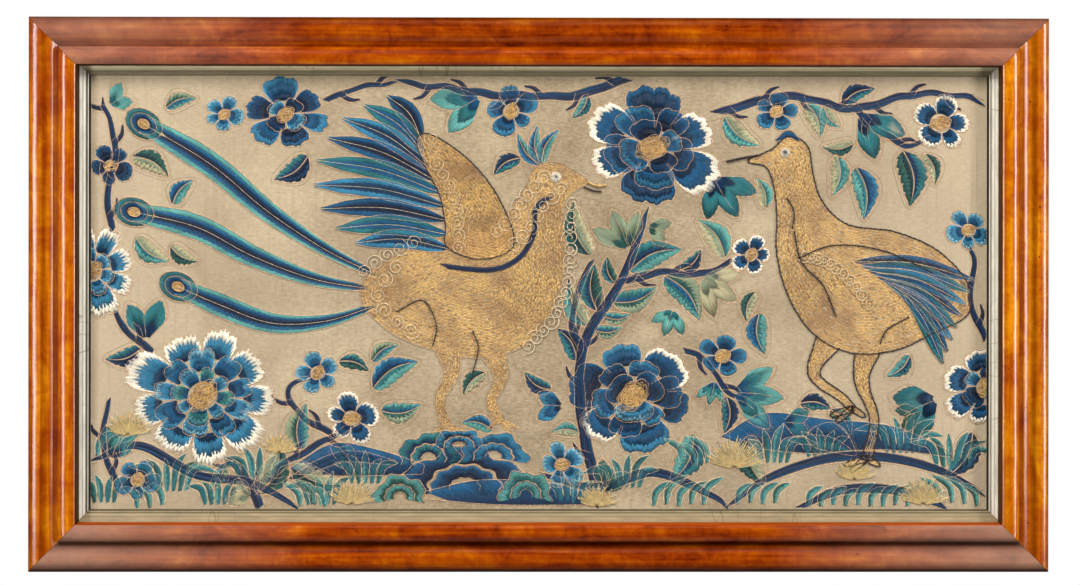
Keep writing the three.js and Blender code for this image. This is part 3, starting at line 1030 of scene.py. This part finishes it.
def eye_spot(x, z, turn, size, lift):
    """The eye at the end of a tail plume: rings of satin stitch round a gold middle."""
    angle = np.linspace(0, 2 * math.pi, 60)
    ring = around(angle) * (1, 0.72)
    for inner, outer, bands in (
        (0.72, 1.0, [(1.0, 0.5, "teal")]),
        (0.34, 0.7, [(0.5, 0.6, "navy"), (1.0, 0.4, "blue")]),
    ):
        lines = [placed(ring * size * r, x, z, turn) for r in (inner, outer)]
        fan(satin, *lines, bands, lift=lift, pad=0.0)
    couch([placed(ring * size * 0.34, x, z, turn)[:-1]], 3, lift)
    for r in (0.34, 0.72, 1.06):
        outline_cord(placed(ring * size * r, x, z, turn), 0.9, "peach", lift)


def curl(x, z, size, turn, lift, flip=1.0, width=1.0):
    """A small spiral of laid cord."""
    t = np.linspace(0, 1, int(8 + size * 3))
    angle = 2 * math.pi * CURL_TURNS * t
    ring = around(angle, size * (1 - 0.84 * t))
    cord(curls, placed(ring, x, z, turn, flip=flip), width, "cream", lift)


def disc_of(x, z, radius, turn=0.0, squash=1.0, count=24):
    """A round or oval outline."""
    angle = np.linspace(0, 2 * math.pi, count, endpoint=False)
    return placed(around(angle, radius), x, z, turn, squash)


def bird_eye(x, z, size):
    """A white eye with a dark middle, in satin stitch."""
    for radius, ink, lift in ((size, "white", 0.9), (size / 2, "night", 1.0)):
        disc = closed(disc_of(x, z, radius, count=28))
        fan(satin, (disc - (x, z)) * 0.1 + (x, z), disc, [(1.0, 0.1, ink)], lift=lift, pad=0)


phoenix = curve([
    (50, 116), (34, 128), (16, 136), (-4, 130), (-16, 108), (-34, 84), (-66, 66), (-106, 56), (-146, 40),
    (-180, 18), (-184, -12), (-154, -42), (-110, -60), (-62, -68), (-18, -56), (10, -24), (24, 14), (26, 50),
    (24, 80), (28, 98), (38, 108),
], closed=True)[:-1]
phoenix_legs = [
    limb([(-98, -52), (-92, -84), (-104, -112), (-98, -140)], 12, (2.4, 1.5, 0.9, 0.75, 0.9)),
    limb([(-50, -58), (-40, -88), (-50, -112), (-42, -136)], 12, (2.4, 1.5, 0.9, 0.75, 0.9)),
]
phoenix_toes = [
    limb([(x, z), (x + dx, z + dz)], 5.4, (1.0, 1.0, 0.4))
    for x, z in ((-98, -138), (-42, -134)) for dx, dz in ((20, -8), (14, -15), (-14, -10))
]
wing_arm = curve([
    (-28, 50), (-42, 96), (-72, 136), (-112, 164), (-128, 160), (-120, 134), (-104, 102), (-98, 70),
    (-96, 48), (-62, 36),
], closed=True)[:-1]
couch([phoenix, *phoenix_legs, *phoenix_toes], 21)
couch([wing_arm], 33, lift=0.5)
edging(phoenix, 1.0, "sand")
for leg in phoenix_legs:
    edging(leg, 1.0, "sand", under=phoenix)
edging(wing_arm, 1.8, "umber", lift=0.6)

WING_ROOTS = curve([(-124, 160), (-117, 132), (-101, 98), (-97, 66), (-96, 46)])
WING_TIPS = curve([(-160, 206), (-202, 186), (-228, 150), (-236, 112), (-222, 76), (-192, 52)])
FEATHERS = 9
WING_BANDS = (
    [(0.5, 1.2, "night"), (1.0, 0.4, "blue")],
    [(0.5, 1.2, "blue"), (1.0, 0.4, "teal")],
    [(0.5, 1.2, "navy"), (1.0, 0.4, "sky")],
)
for i, (root, tip) in enumerate(zip(spaced(WING_ROOTS, FEATHERS), spaced(WING_TIPS, FEATHERS))):
    bend = (root + tip) / 2 + unit(np.array([tip[1] - root[1], root[0] - tip[0]])) * 7
    feather([root, bend, tip], 19, WING_BANDS[i % 3], lift=0.3 + 0.04 * i)
for i, spot in enumerate(spaced(WING_ROOTS, 10)):
    curl(*(spot + (11, 1)), 8, turn=150 + 20 * i, lift=1.0)

PLUMES = [  # the three tail feathers, from root to tip
    dict(points=[(-170, 18), (-226, 46), (-286, 86), (-344, 134), (-414, 176)], width=25),
    dict(points=[(-178, 4), (-236, 14), (-300, 38), (-358, 68), (-424, 84)], width=25),
    dict(points=[(-172, -14), (-224, -30), (-280, -32), (-332, -14), (-378, 6)], width=23),
]
plume_bands = [(0.36, 2.0, "night"), (0.68, 1.8, "blue"), (1.0, 0.8, "aqua")]
for plume in PLUMES:
    feather(plume["points"], plume["width"], plume_bands, lift=0.3, shape=(0.25, 0.5, 0.75, 0.95, 1.0, 0.7))
    end, before = np.array(plume["points"][-1], float), np.array(plume["points"][-2], float)
    heading = math.degrees(math.atan2(*(end - before)[::-1]))
    eye_spot(*end, heading, 20, 0.6)
FLEECE = [  # the lines of spirals along the neck, the breast, the back and the haunch, and how many
    ([(4, 120), (-12, 104), (-26, 84), (-44, 64)], 7),
    ([(22, 108), (4, 92), (-8, 70), (-26, 50)], 7),
    ([(34, 92), (32, 56), (31, 18), (18, -22), (-12, -56)], 15),
    ([(-132, 52), (-158, 40), (-184, 22)], 5),
    ([(-150, 26), (-168, 4), (-160, -22), (-134, -40)], 6),
]
for points, count in FLEECE:
    for i, spot in enumerate(spaced(curve(points), count)):
        curl(*spot, 8.2 + 1.2 * (i % 2), turn=70 * i, flip=(-1) ** i, lift=0.9, width=1.1)
collar = curve([(12, 102), (-4, 88), (-6, 62), (-22, 36), (-52, 24), (-104, 28)])
slanted(collar, 5, [(1.0, 0.3, "stem")], lift=0.9, outline=None)
bird_eye(17, 121, 6)
for points, width, ink in (  # the two halves of the beak, and two creases of the body
    ([(50, 116), (60, 112), (70, 113)], 3.6, "yellow"),
    ([(46, 111), (56, 107), (65, 106)], 2.6, "umber"),
    ([(-70, -40), (-64, -58), (-70, -84)], 1.8, "umber"),
    ([(-150, -20), (-122, -8), (-108, -34), (-112, -56)], 1.8, "umber"),
):
    cord(curls, curve(points), width, ink, 0.9)
for turn in (64, 96, 128):
    leaf(2, 134, turn, 40, 12, BRIGHT, FOAM, teeth=False)


def crane_place(points):
    """Places of the standing crane, drawn facing right and set down facing left."""
    return placed(np.array(points, float) * (-0.96, 0.96), 330, 4)


crane = curve(crane_place([
    (116, 140), (90, 152), (72, 166), (52, 156), (46, 126), (36, 96), (8, 70), (-44, 62), (-90, 42),
    (-122, 8), (-124, -26), (-88, -46), (-44, -66), (6, -68), (46, -46), (72, -6), (84, 38), (84, 74),
    (86, 104), (92, 128), (100, 136),
]), closed=True)[:-1]
crane_legs = [
    limb(crane_place([(-18, -56), (-8, -98), (-22, -142), (-14, -186)]), 11, (2.6, 1.5, 0.8, 0.7, 0.9)),
    limb(crane_place([(26, -52), (44, -92), (14, -118), (2, -130)]), 11, (2.6, 1.5, 0.8, 0.7, 0.6)),
]
crane_toes = [
    limb(crane_place([(x, z), (x + dx, z + dz)]), 5, (1.0, 1.0, 0.4))
    for x, z, reach in ((-14, -184, 1), (2, -130, 0.8)) for dx, dz in ((24, -8), (18, -15), (-14, -9))
]
couch([crane, *crane_legs, *crane_toes], 47)
edging(crane, 2.1, "umber")
for outline in (*crane_legs, *crane_toes):
    edging(outline, 2.1, "umber", under=crane)
for i in range(8):
    root = crane_place([(0 - 8 * i, 30 - 5 * i)])[0]
    tip = crane_place([(-132 + 5 * i, 10 - 13 * i)])[0]
    feather([root, (root + tip) / 2 + (0, 8), tip], 15, WING_BANDS[i % 3], lift=0.3 + 0.05 * i)
for t in np.linspace(0, 1, 11):
    curl(*crane_place([(54 - 70 * t, 36 - 52 * t * t)])[0], 7.5, turn=200 - 90 * t, lift=1.0)
for points in (  # the wing's upper edge, and creases of the breast, tail and neck
    [(62, 34), (22, 48), (-32, 42), (-86, 18)],
    [(66, 64), (58, 30), (34, 4), (20, -30)],
    [(-60, -30), (-36, -44), (-28, -60)],
    [(74, 100), (66, 84), (68, 66)],
):
    cord(curls, curve(crane_place(points)), 2.2, "umber", 0.9, tie=0.35)
crown = curve(crane_place([(60, 162), (72, 169), (86, 162)]))
slanted(crown, 7, [(1.0, 0.3, "blue")], lift=0.8, shape=(0.2, 1, 0.2))
cord(curls, curve(crane_place([(104, 146), (122, 143), (140, 139)])), 3.8, "umber", 0.2)
bird_eye(*crane_place([(76, 149)])[0], 5.5)

# The flowers: blue blooms with scalloped petals, pale rims and bare corded lines between petals,
# round couched gold hearts, all generic kinds, with small blossoms between them.
satin = needlework["satin_flowers"] = Work()
taken = []
EDGE_ROOM = 5.0


def claim(outline, margin=4.0):
    """Keeps leaves and small flowers off a motif."""
    taken.append((np.asarray(outline), margin))


def is_free(places):
    """Whether places are inside the sight edge and clear of every motif so far."""
    if (np.abs(places) > SIGHT_HALF - EDGE_ROOM).any():
        return False
    return all((depth_in(places, outline)[0] < -margin).all() for outline, margin in taken)


def bloom(x, z, radius, turn, squash, rings, heart):
    """A flower: rings of uneven petals from the outside in, then its heart. A ring is its petals'
    number, inner and outer radius, first angle, the tones to choose from, and each petal's lobes."""
    flower = (x, z, turn, squash)
    for level, (count, inner, outer, first, tones, lobes) in enumerate(rings):
        cuts = first + 360 / count * (np.arange(count) + rng.uniform(-0.2, 0.2, count))
        for i, low in enumerate(cuts):
            high = cuts[i + 1] if i + 1 < count else cuts[0] + 360
            reach = outer * radius * rng.uniform(0.88, 1.1)
            petal(flower, low, high, inner * radius, reach, tones[i % len(tones)], lobes, 0.14 * level)
    core = disc_of(x, z, heart * radius, turn + 40, 0.62, count=40)
    core += (core - (x, z)) * 0.08 * np.sin(np.arange(40))[:, None]
    couch([core], int(radius), lift=0.45)
    edging(core, 1.0, "peach", lift=0.5)
    claim(disc_of(x, z, radius * 1.04, turn, squash))


bloom(-352, -108, 76, 12, 0.92, [
    (9, 0.56, 1.04, 5, [RAGGED], 3), (9, 0.36, 0.66, 24, [BRIGHT, SOFT], 2),
    (8, 0.2, 0.42, 0, [SOFT, TIDE], 1),
], 0.24)
bloom(118, 152, 64, -18, 0.86, [
    (6, 0.5, 1.08, 10, [RIMMED, DEEP, RIMMED], 4), (5, 0.36, 0.74, 40, [DEEP, BRIGHT], 3),
    (4, 0.2, 0.5, 5, [BRIGHT, DARK], 3),
], 0.28)
bloom(98, -108, 64, 8, 0.88, [
    (6, 0.56, 1.06, 0, [RIMMED, BRIGHT, DEEP], 3), (6, 0.36, 0.72, 35, [BRIGHT, DEEP], 3),
    (3, 0.2, 0.46, 80, [DEEP, SOFT], 2),
], 0.3)
bloom(-266, 186, 40, 0, 0.86, [
    (6, 0.42, 1.06, 12, [DEEP, BRIGHT], 3), (4, 0.2, 0.52, 0, [DARK, SOFT], 2),
], 0.24)
bloom(-468, 22, 44, 0, 1.0, [
    (8, 0.46, 1.02, 0, [RAGGED], 2), (7, 0.24, 0.54, 14, [SOFT], 1),
], 0.26)
bloom(468, -98, 44, 30, 0.9, [
    (7, 0.46, 1.02, 0, [RIMMED], 3), (5, 0.22, 0.54, 14, [DEEP, SOFT], 2),
], 0.26)
for x, z, radius, tones in (
    (-232, -84, 22, SOFT), (-196, -132, 26, RIMMED), (-30, 190, 25, BRIGHT), (420, 178, 31, RIMMED),
    (24, -180, 22, SOFT), (192, -66, 23, BRIGHT), (450, 66, 21, SOFT), (222, 40, 20, RIMMED),
    (-420, -196, 22, BRIGHT), (-448, 132, 20, DEEP), (-330, 186, 18, SOFT), (248, 190, 20, BRIGHT),
):
    bloom(x, z, radius, 30 * math.sin(x), 0.9, [(5, 0.34, 1.06, x % 70, [tones], 1)], 0.34)

# The branches and leaves: stems in slanting dark stitches, with leaves along and between them, some
# toothed and in two halves and some lobed, in two tones. Some of them have worn and faded to sage and straw.
satin = needlework["satin_leaves"] = Work()
SPUR_EVERY = 26  # places of a branch's line from one short spur to the next
LEAVES_EVERY = 12
BRANCHES = [
    dict(points=[(66, -226), (52, -170), (42, -110), (48, -50), (84, 10), (104, 60), (112, 92)], width=10),
    dict(points=[(46, -60), (34, -34), (42, 6), (56, 36)], width=6),
    dict(points=[(84, 10), (130, 22), (172, 20), (208, 36)], width=7),
    dict(points=[(150, -60), (172, -70), (196, -100), (226, -120)], width=5),
    dict(points=[(180, 186), (256, 206), (330, 194), (404, 210), (468, 200)], width=8),
    dict(points=[(330, 194), (352, 172), (386, 156), (410, 162)], width=6),
    dict(points=[(96, 226), (40, 208), (-18, 206), (-84, 212), (-150, 222)], width=8),
    dict(points=[(-292, -226), (-306, -196), (-330, -168)], width=9),
    dict(points=[(-300, -208), (-262, -176), (-214, -150), (-196, -140)], width=7),
    dict(points=[(-214, -150), (-250, -128), (-262, -100), (-240, -90)], width=6),
    dict(points=[(-404, -64), (-436, -36), (-444, -12)], width=7),
    dict(points=[(469, -50), (452, -10), (456, 30), (450, 50)], width=6),
    dict(points=[(-446, 60), (-452, 100), (-444, 150), (-458, 206)], width=6),
    dict(points=[(-440, -206), (-456, -160), (-450, -110)], width=6),
    dict(points=[(-226, 200), (-190, 214), (-150, 222)], width=5),
]
for outline in (phoenix, wing_arm, crane, *phoenix_legs, *crane_legs):
    claim(outline, 5)
claim(np.concatenate([WING_ROOTS, WING_TIPS[::-1]]), 7)
for plume in PLUMES:
    line = curve(plume["points"])
    claim(limb(plume["points"], plume["width"] + 6, (0.5, 0.8, 1, 1, 1)), 3)
    claim(disc_of(*line[-1], 22), 2)
for outline, margin in (  # the crane's wing and bill, the phoenix's beak and crest, and the rock
    (crane_place([(0, 30), (-138, 14), (-142, -66), (-60, -66)]), 3),
    (crane_place([(90, 150), (156, 146), (156, 130), (90, 130)]), 3),
    ([(36, 124), (76, 122), (76, 98), (36, 102)], 2),
    ([(-6, 130), (-30, 172), (-8, 182), (24, 176), (12, 136)], 2),
    ([(-168, -152), (-168, -228), (12, -228), (12, -152)], 0),
):
    claim(outline, margin)
for branch in BRANCHES:
    line = curve(branch["points"])
    wave = 1.5 * np.sin(np.arange(len(line)) / 4.0) + 1.2 * np.sin(np.arange(len(line)) / 9.0)
    line = line + np.stack([wave * 0.4, wave], 1) * np.linspace(0.3, 1, len(line))[:, None]
    bark = [(0.55, 0.8, "stem"), (1.0, 0.2, "navy")]
    slanted(line, branch["width"], bark, shape=(1.0, 1.1, 0.8, 0.95, 0.7, 0.6))
    branch["line"] = line
    for i in range(12, len(line) - 8, SPUR_EVERY):
        way = unit(line[i + 2] - line[i - 2])
        side = np.array([-way[1], way[0]]) * (1 if i // SPUR_EVERY % 2 else -1)
        spur = curve([line[i], line[i] + way * 8 + side * 9, line[i] + way * 18 + side * 12])
        slanted(spur, 5, [(1.0, 0.2, "stem")], shape=(1.0, 0.8, 0.3))


def oval_ahead(root, turn, length, width):
    """The room that a leaf of this size needs."""
    return placed(disc_of(0, 0, 1, count=16) * (length / 2, width / 2) + (length / 2 + 3, 0), *root, turn)


def try_leaf(root, turn, sizes):
    """Sews a leaf at a root if there is room for one of these lengths."""
    for length in sizes:
        is_lobed = rng.random() < 0.5
        width = length * (0.85 if is_lobed else rng.uniform(0.42, 0.52))
        room = oval_ahead(root, turn, length, width)
        if not is_free(room):
            continue
        side = 1 if rng.random() < 0.5 else -1
        if is_lobed:
            tones = LOBE_TONES[rng.integers(len(LOBE_TONES))]
            lobes, wide = int(rng.integers(2, 4)), rng.uniform(42, 60)
            lobed(*root, turn, length, tones, lobes, wide, side)
        else:
            leaf(*root, turn, length, width, *LEAF_TONES[rng.integers(len(LEAF_TONES))], flip=side)
        claim(room, 0.5)
        return True
    return False


for branch in BRANCHES:
    line = branch["line"]
    for i in range(6, len(line), LEAVES_EVERY):
        way = unit(line[min(i + 2, len(line) - 1)] - line[i - 2])
        heading = math.degrees(math.atan2(way[1], way[0]))
        for side in (1, -1):
            for turn in (heading + side * rng.uniform(38, 60), heading + side * rng.uniform(75, 105)):
                root = line[i] + around(math.radians(turn), 6)
                if try_leaf(root, turn, (58, 48, 38, 28)):
                    break
STRAY_TRIES = 1100  # places tried for the leaves that lie loose between the branches
GROUND_TOP = -150
stems = np.concatenate([branch["line"] for branch in BRANCHES])
for x, z in rng.uniform(-1, 1, (STRAY_TRIES, 2)) * (SIGHT_HALF - 14):
    away = np.array([x, z]) - stems[np.linalg.norm(stems - (x, z), axis=1).argmin()]
    if z > GROUND_TOP:
        turn = math.degrees(math.atan2(away[1], away[0])) + rng.uniform(-50, 50)
        try_leaf(np.array([x, z]), turn, (54, 42, 32))

# The ground: navy lines of earth, long blue banks, a lobed rock, grass and straw-coloured tufts. Floss
# sewn across each shape in slanting stitches, with fine cords along the edges.
satin = needlework["satin_ground"] = Work()


def grass(x, z, blades, reach, lean=0.0):
    """A clump of grass: curved blades in two greens, spread from a narrow foot."""
    for i in range(blades):
        off = i - (blades - 1) / 2
        way = math.radians(90 + lean - off * 22)
        size = reach * rng.uniform(0.8, 1.1) * (1 - 0.06 * abs(off))
        foot = np.array([x + 6.5 * off, z])
        top = around(way, size)
        line = curve([foot, foot + (top[0] * 0.25, size * 0.6), foot + top])
        ink = ("teal", "green", "aqua")[i % 3]
        slanted(line, 6.0, [(0.5, 0.8, ink), (1.0, 0.3, "teal")], shape=DAGGER, outline=None)
        for edge in band_edges(line, 9.0, DAGGER):
            outline_cord(part_of(edge, 0.25, 1), 0.8, "cream")


def arcs(x, z, count, reach, side):
    """A row of bent blades that lean the same way, one beside another."""
    for i in range(count):
        foot = np.array([x + 13.0 * i, z + rng.uniform(-2, 2)])
        tall = reach * rng.uniform(0.8, 1.1)
        line = curve([foot, foot + (side * tall * 0.12, tall * 0.6), foot + (side * tall * 0.75, tall)])
        bands = [(0.5, 0.8, ("teal", "green")[i % 2]), (1.0, 0.3, "aqua")]
        slanted(line, 6.0, bands, shape=DAGGER, outline="cream")


def shell(x, z, radius):
    """A spread tuft in straw and gold, of rays between two curved edges."""
    for angle in np.arange(10, 170, 5.0):
        ray = around(math.radians(angle))
        reach = radius * (0.86 + 0.14 * math.sin(angle * 0.9))
        at = np.linspace(0.12, 1, int(radius / 2.4))[:, None] * reach
        cord(curls, np.array([(x, z)]) + ray * at, 1.9, "yellow" if angle % 10 else "straw", 0.1)
        cord(curls, np.array([(x, z)]) + ray * at * 1.08 + (1, 1), 0.7, "cream", 0.1)


EARTH = [
    [(-470, -178), (-420, -160), (-360, -190), (-300, -200), (-250, -226)],
    [(-262, -196), (-206, -172), (-150, -178)],
    [(0, -190), (60, -204), (120, -188), (180, -212), (200, -226)],
    [(196, -226), (236, -196), (300, -174), (360, -172), (420, -186), (469, -212)],
    [(270, -226), (320, -206), (380, -208), (430, -226)],
]
for points in EARTH:
    slanted(curve(points), 9, [(0.5, 0.8, "stem"), (1.0, 0.4, "navy")], shape=(0.4, 0.9, 1.0, 0.9, 0.4))
BANKS = [
    dict(
        top=[(-262, -184), (-216, -158), (-170, -164), (-120, -180)],
        bottom=[(-256, -190), (-200, -192), (-122, -190)],
    ),
    dict(
        top=[(190, -150), (236, -126), (300, -132), (372, -140), (432, -166)],
        bottom=[(192, -158), (280, -168), (360, -164), (432, -172)],
    ),
    dict(
        top=[(-120, -208), (-60, -196), (20, -200), (70, -216)],
        bottom=[(-118, -216), (-40, -222), (68, -222)],
    ),
]
bank_bands = [(0.55, 5.0, "blue"), (1.0, 0.8, "navy")]
for bank in BANKS:
    upper, lower = curve(bank["top"]), curve(bank["bottom"])
    fan(satin, part_of(upper, 0, 0.86), part_of(lower, 0.14, 1), bank_bands, pad=0.2)
    rim = closed(np.concatenate([upper, lower[::-1]]))
    outline_cord(rim, 0.9, "peach")

ROCK = [  # the lobes of a standing rock: place, radii and bands
    dict(x=-78, z=-204, wide=62, tall=40,
         bands=[(0.3, 1.5, "night"), (0.7, 1.5, "navy"), (1.0, 0.5, "blue")]),
    dict(x=-116, z=-174, wide=30, tall=26, bands=[(0.4, 1.5, "navy"), (1.0, 0.5, "teal")]),
    dict(x=-48, z=-172, wide=34, tall=24, bands=[(0.4, 1.5, "blue"), (1.0, 0.5, "sky")]),
    dict(x=-84, z=-160, wide=26, tall=16, bands=[(0.5, 1.5, "navy"), (1.0, 0.5, "sky")]),
    dict(x=-14, z=-212, wide=26, tall=24, bands=[(0.4, 1.5, "teal"), (1.0, 0.5, "aqua")]),
    dict(x=-146, z=-214, wide=26, tall=22, bands=[(0.4, 1.5, "green"), (1.0, 0.5, "aqua")]),
]
for level, lobe in enumerate(ROCK):
    angle = np.linspace(-0.25, math.pi + 0.25, 70)
    for inner, outer in ((0.62, 1.0), (0.26, 0.56)):
        lines = []
        for share in (inner, outer, outer + 0.04):
            knob = 1 + 0.09 * np.sin(5 * angle + level) * (share > 0.9) + 0.05 * np.sin(11 * angle + level)
            x = lobe["x"] + lobe["wide"] * share * knob * np.cos(angle)
            z = lobe["z"] + lobe["tall"] * share * knob * np.sin(angle)
            lines.append(np.stack([x, z], 1))
        fan(satin, lines[0], lines[1], lobe["bands"], lift=0.15 * level)
        for line in (lines[0], lines[2]):
            outline_cord(line, 0.9, "peach", lift=0.15 * level)

for x, z, blades, reach, lean in (
    (-296, -198, 6, 40, 10), (-386, -208, 6, 44, -8), (-228, -222, 5, 36, 12), (-182, -200, 5, 34, 0),
    (36, -220, 5, 34, -10), (88, -204, 6, 40, 6), (246, -178, 5, 40, -14), (296, -172, 5, 36, 8),
    (382, -168, 6, 46, 0), (434, -184, 6, 46, -8), (-336, -222, 5, 30, 0), (-458, -220, 5, 36, 12),
):
    grass(x, z, blades, reach, lean)
for x, z, count, reach, side in (
    (-462, -172, 3, 26, 1), (-250, -222, 3, 24, -1), (120, -222, 5, 30, 1), (208, -222, 4, 24, 1),
    (282, -222, 9, 22, 1), (420, -222, 4, 28, -1), (-420, -224, 3, 24, -1), (150, -180, 3, 26, -1),
):
    arcs(x, z, count, reach, side)
for x, z, radius in (
    (-196, -222, 26), (204, -184, 32), (402, -222, 28), (60, -224, 22), (-430, -150, 26),
    (330, -196, 22), (-272, -168, 20),
):
    shell(x, z, radius)

# The threads: untwisted floss with a soft sheen, twisted silk cord, and gilt thread that glints. Each
# piece of needlework is sewn with one of them, and its colours are dyed in.


def thread(name, roughness, **sockets):
    """A thread whose colour is kept on its points, with a faint fuzz of tone."""
    f = Finish(name, roughness, **sockets)
    dye = f.tree.nodes.new("ShaderNodeAttribute")
    dye.attribute_name = "dye"
    fuzz = f.step(f.noise(f.where((900, 900, 900)), 1, 2, 0.6), 0.2, 0.8)
    tone = f.mix(fuzz, (0.82, 0.8, 0.77, 1), (1.18, 1.14, 1.1, 1))
    return f.wear(Base_Color=f.mix(1.0, dye.outputs["Color"], tone, "MULTIPLY"))


floss = thread("floss", 0.5, Sheen_Weight=0.2, Sheen_Roughness=0.4, Specular_IOR_Level=0.4)
laid_silk = thread("laid_cord", 0.6, Sheen_Weight=0.2, Specular_IOR_Level=0.3)
gilt_thread = thread("gilt_thread", 0.42, Metallic=0.3)
for name, work in needlework.items():
    work.sew(name, floss, "floss")
laid.sew("laid_outlines", laid_silk, "floss")
curls.sew("laid_curls", laid_silk, "floss")
gold.sew("couched_gold", gilt_thread, "gold_thread")
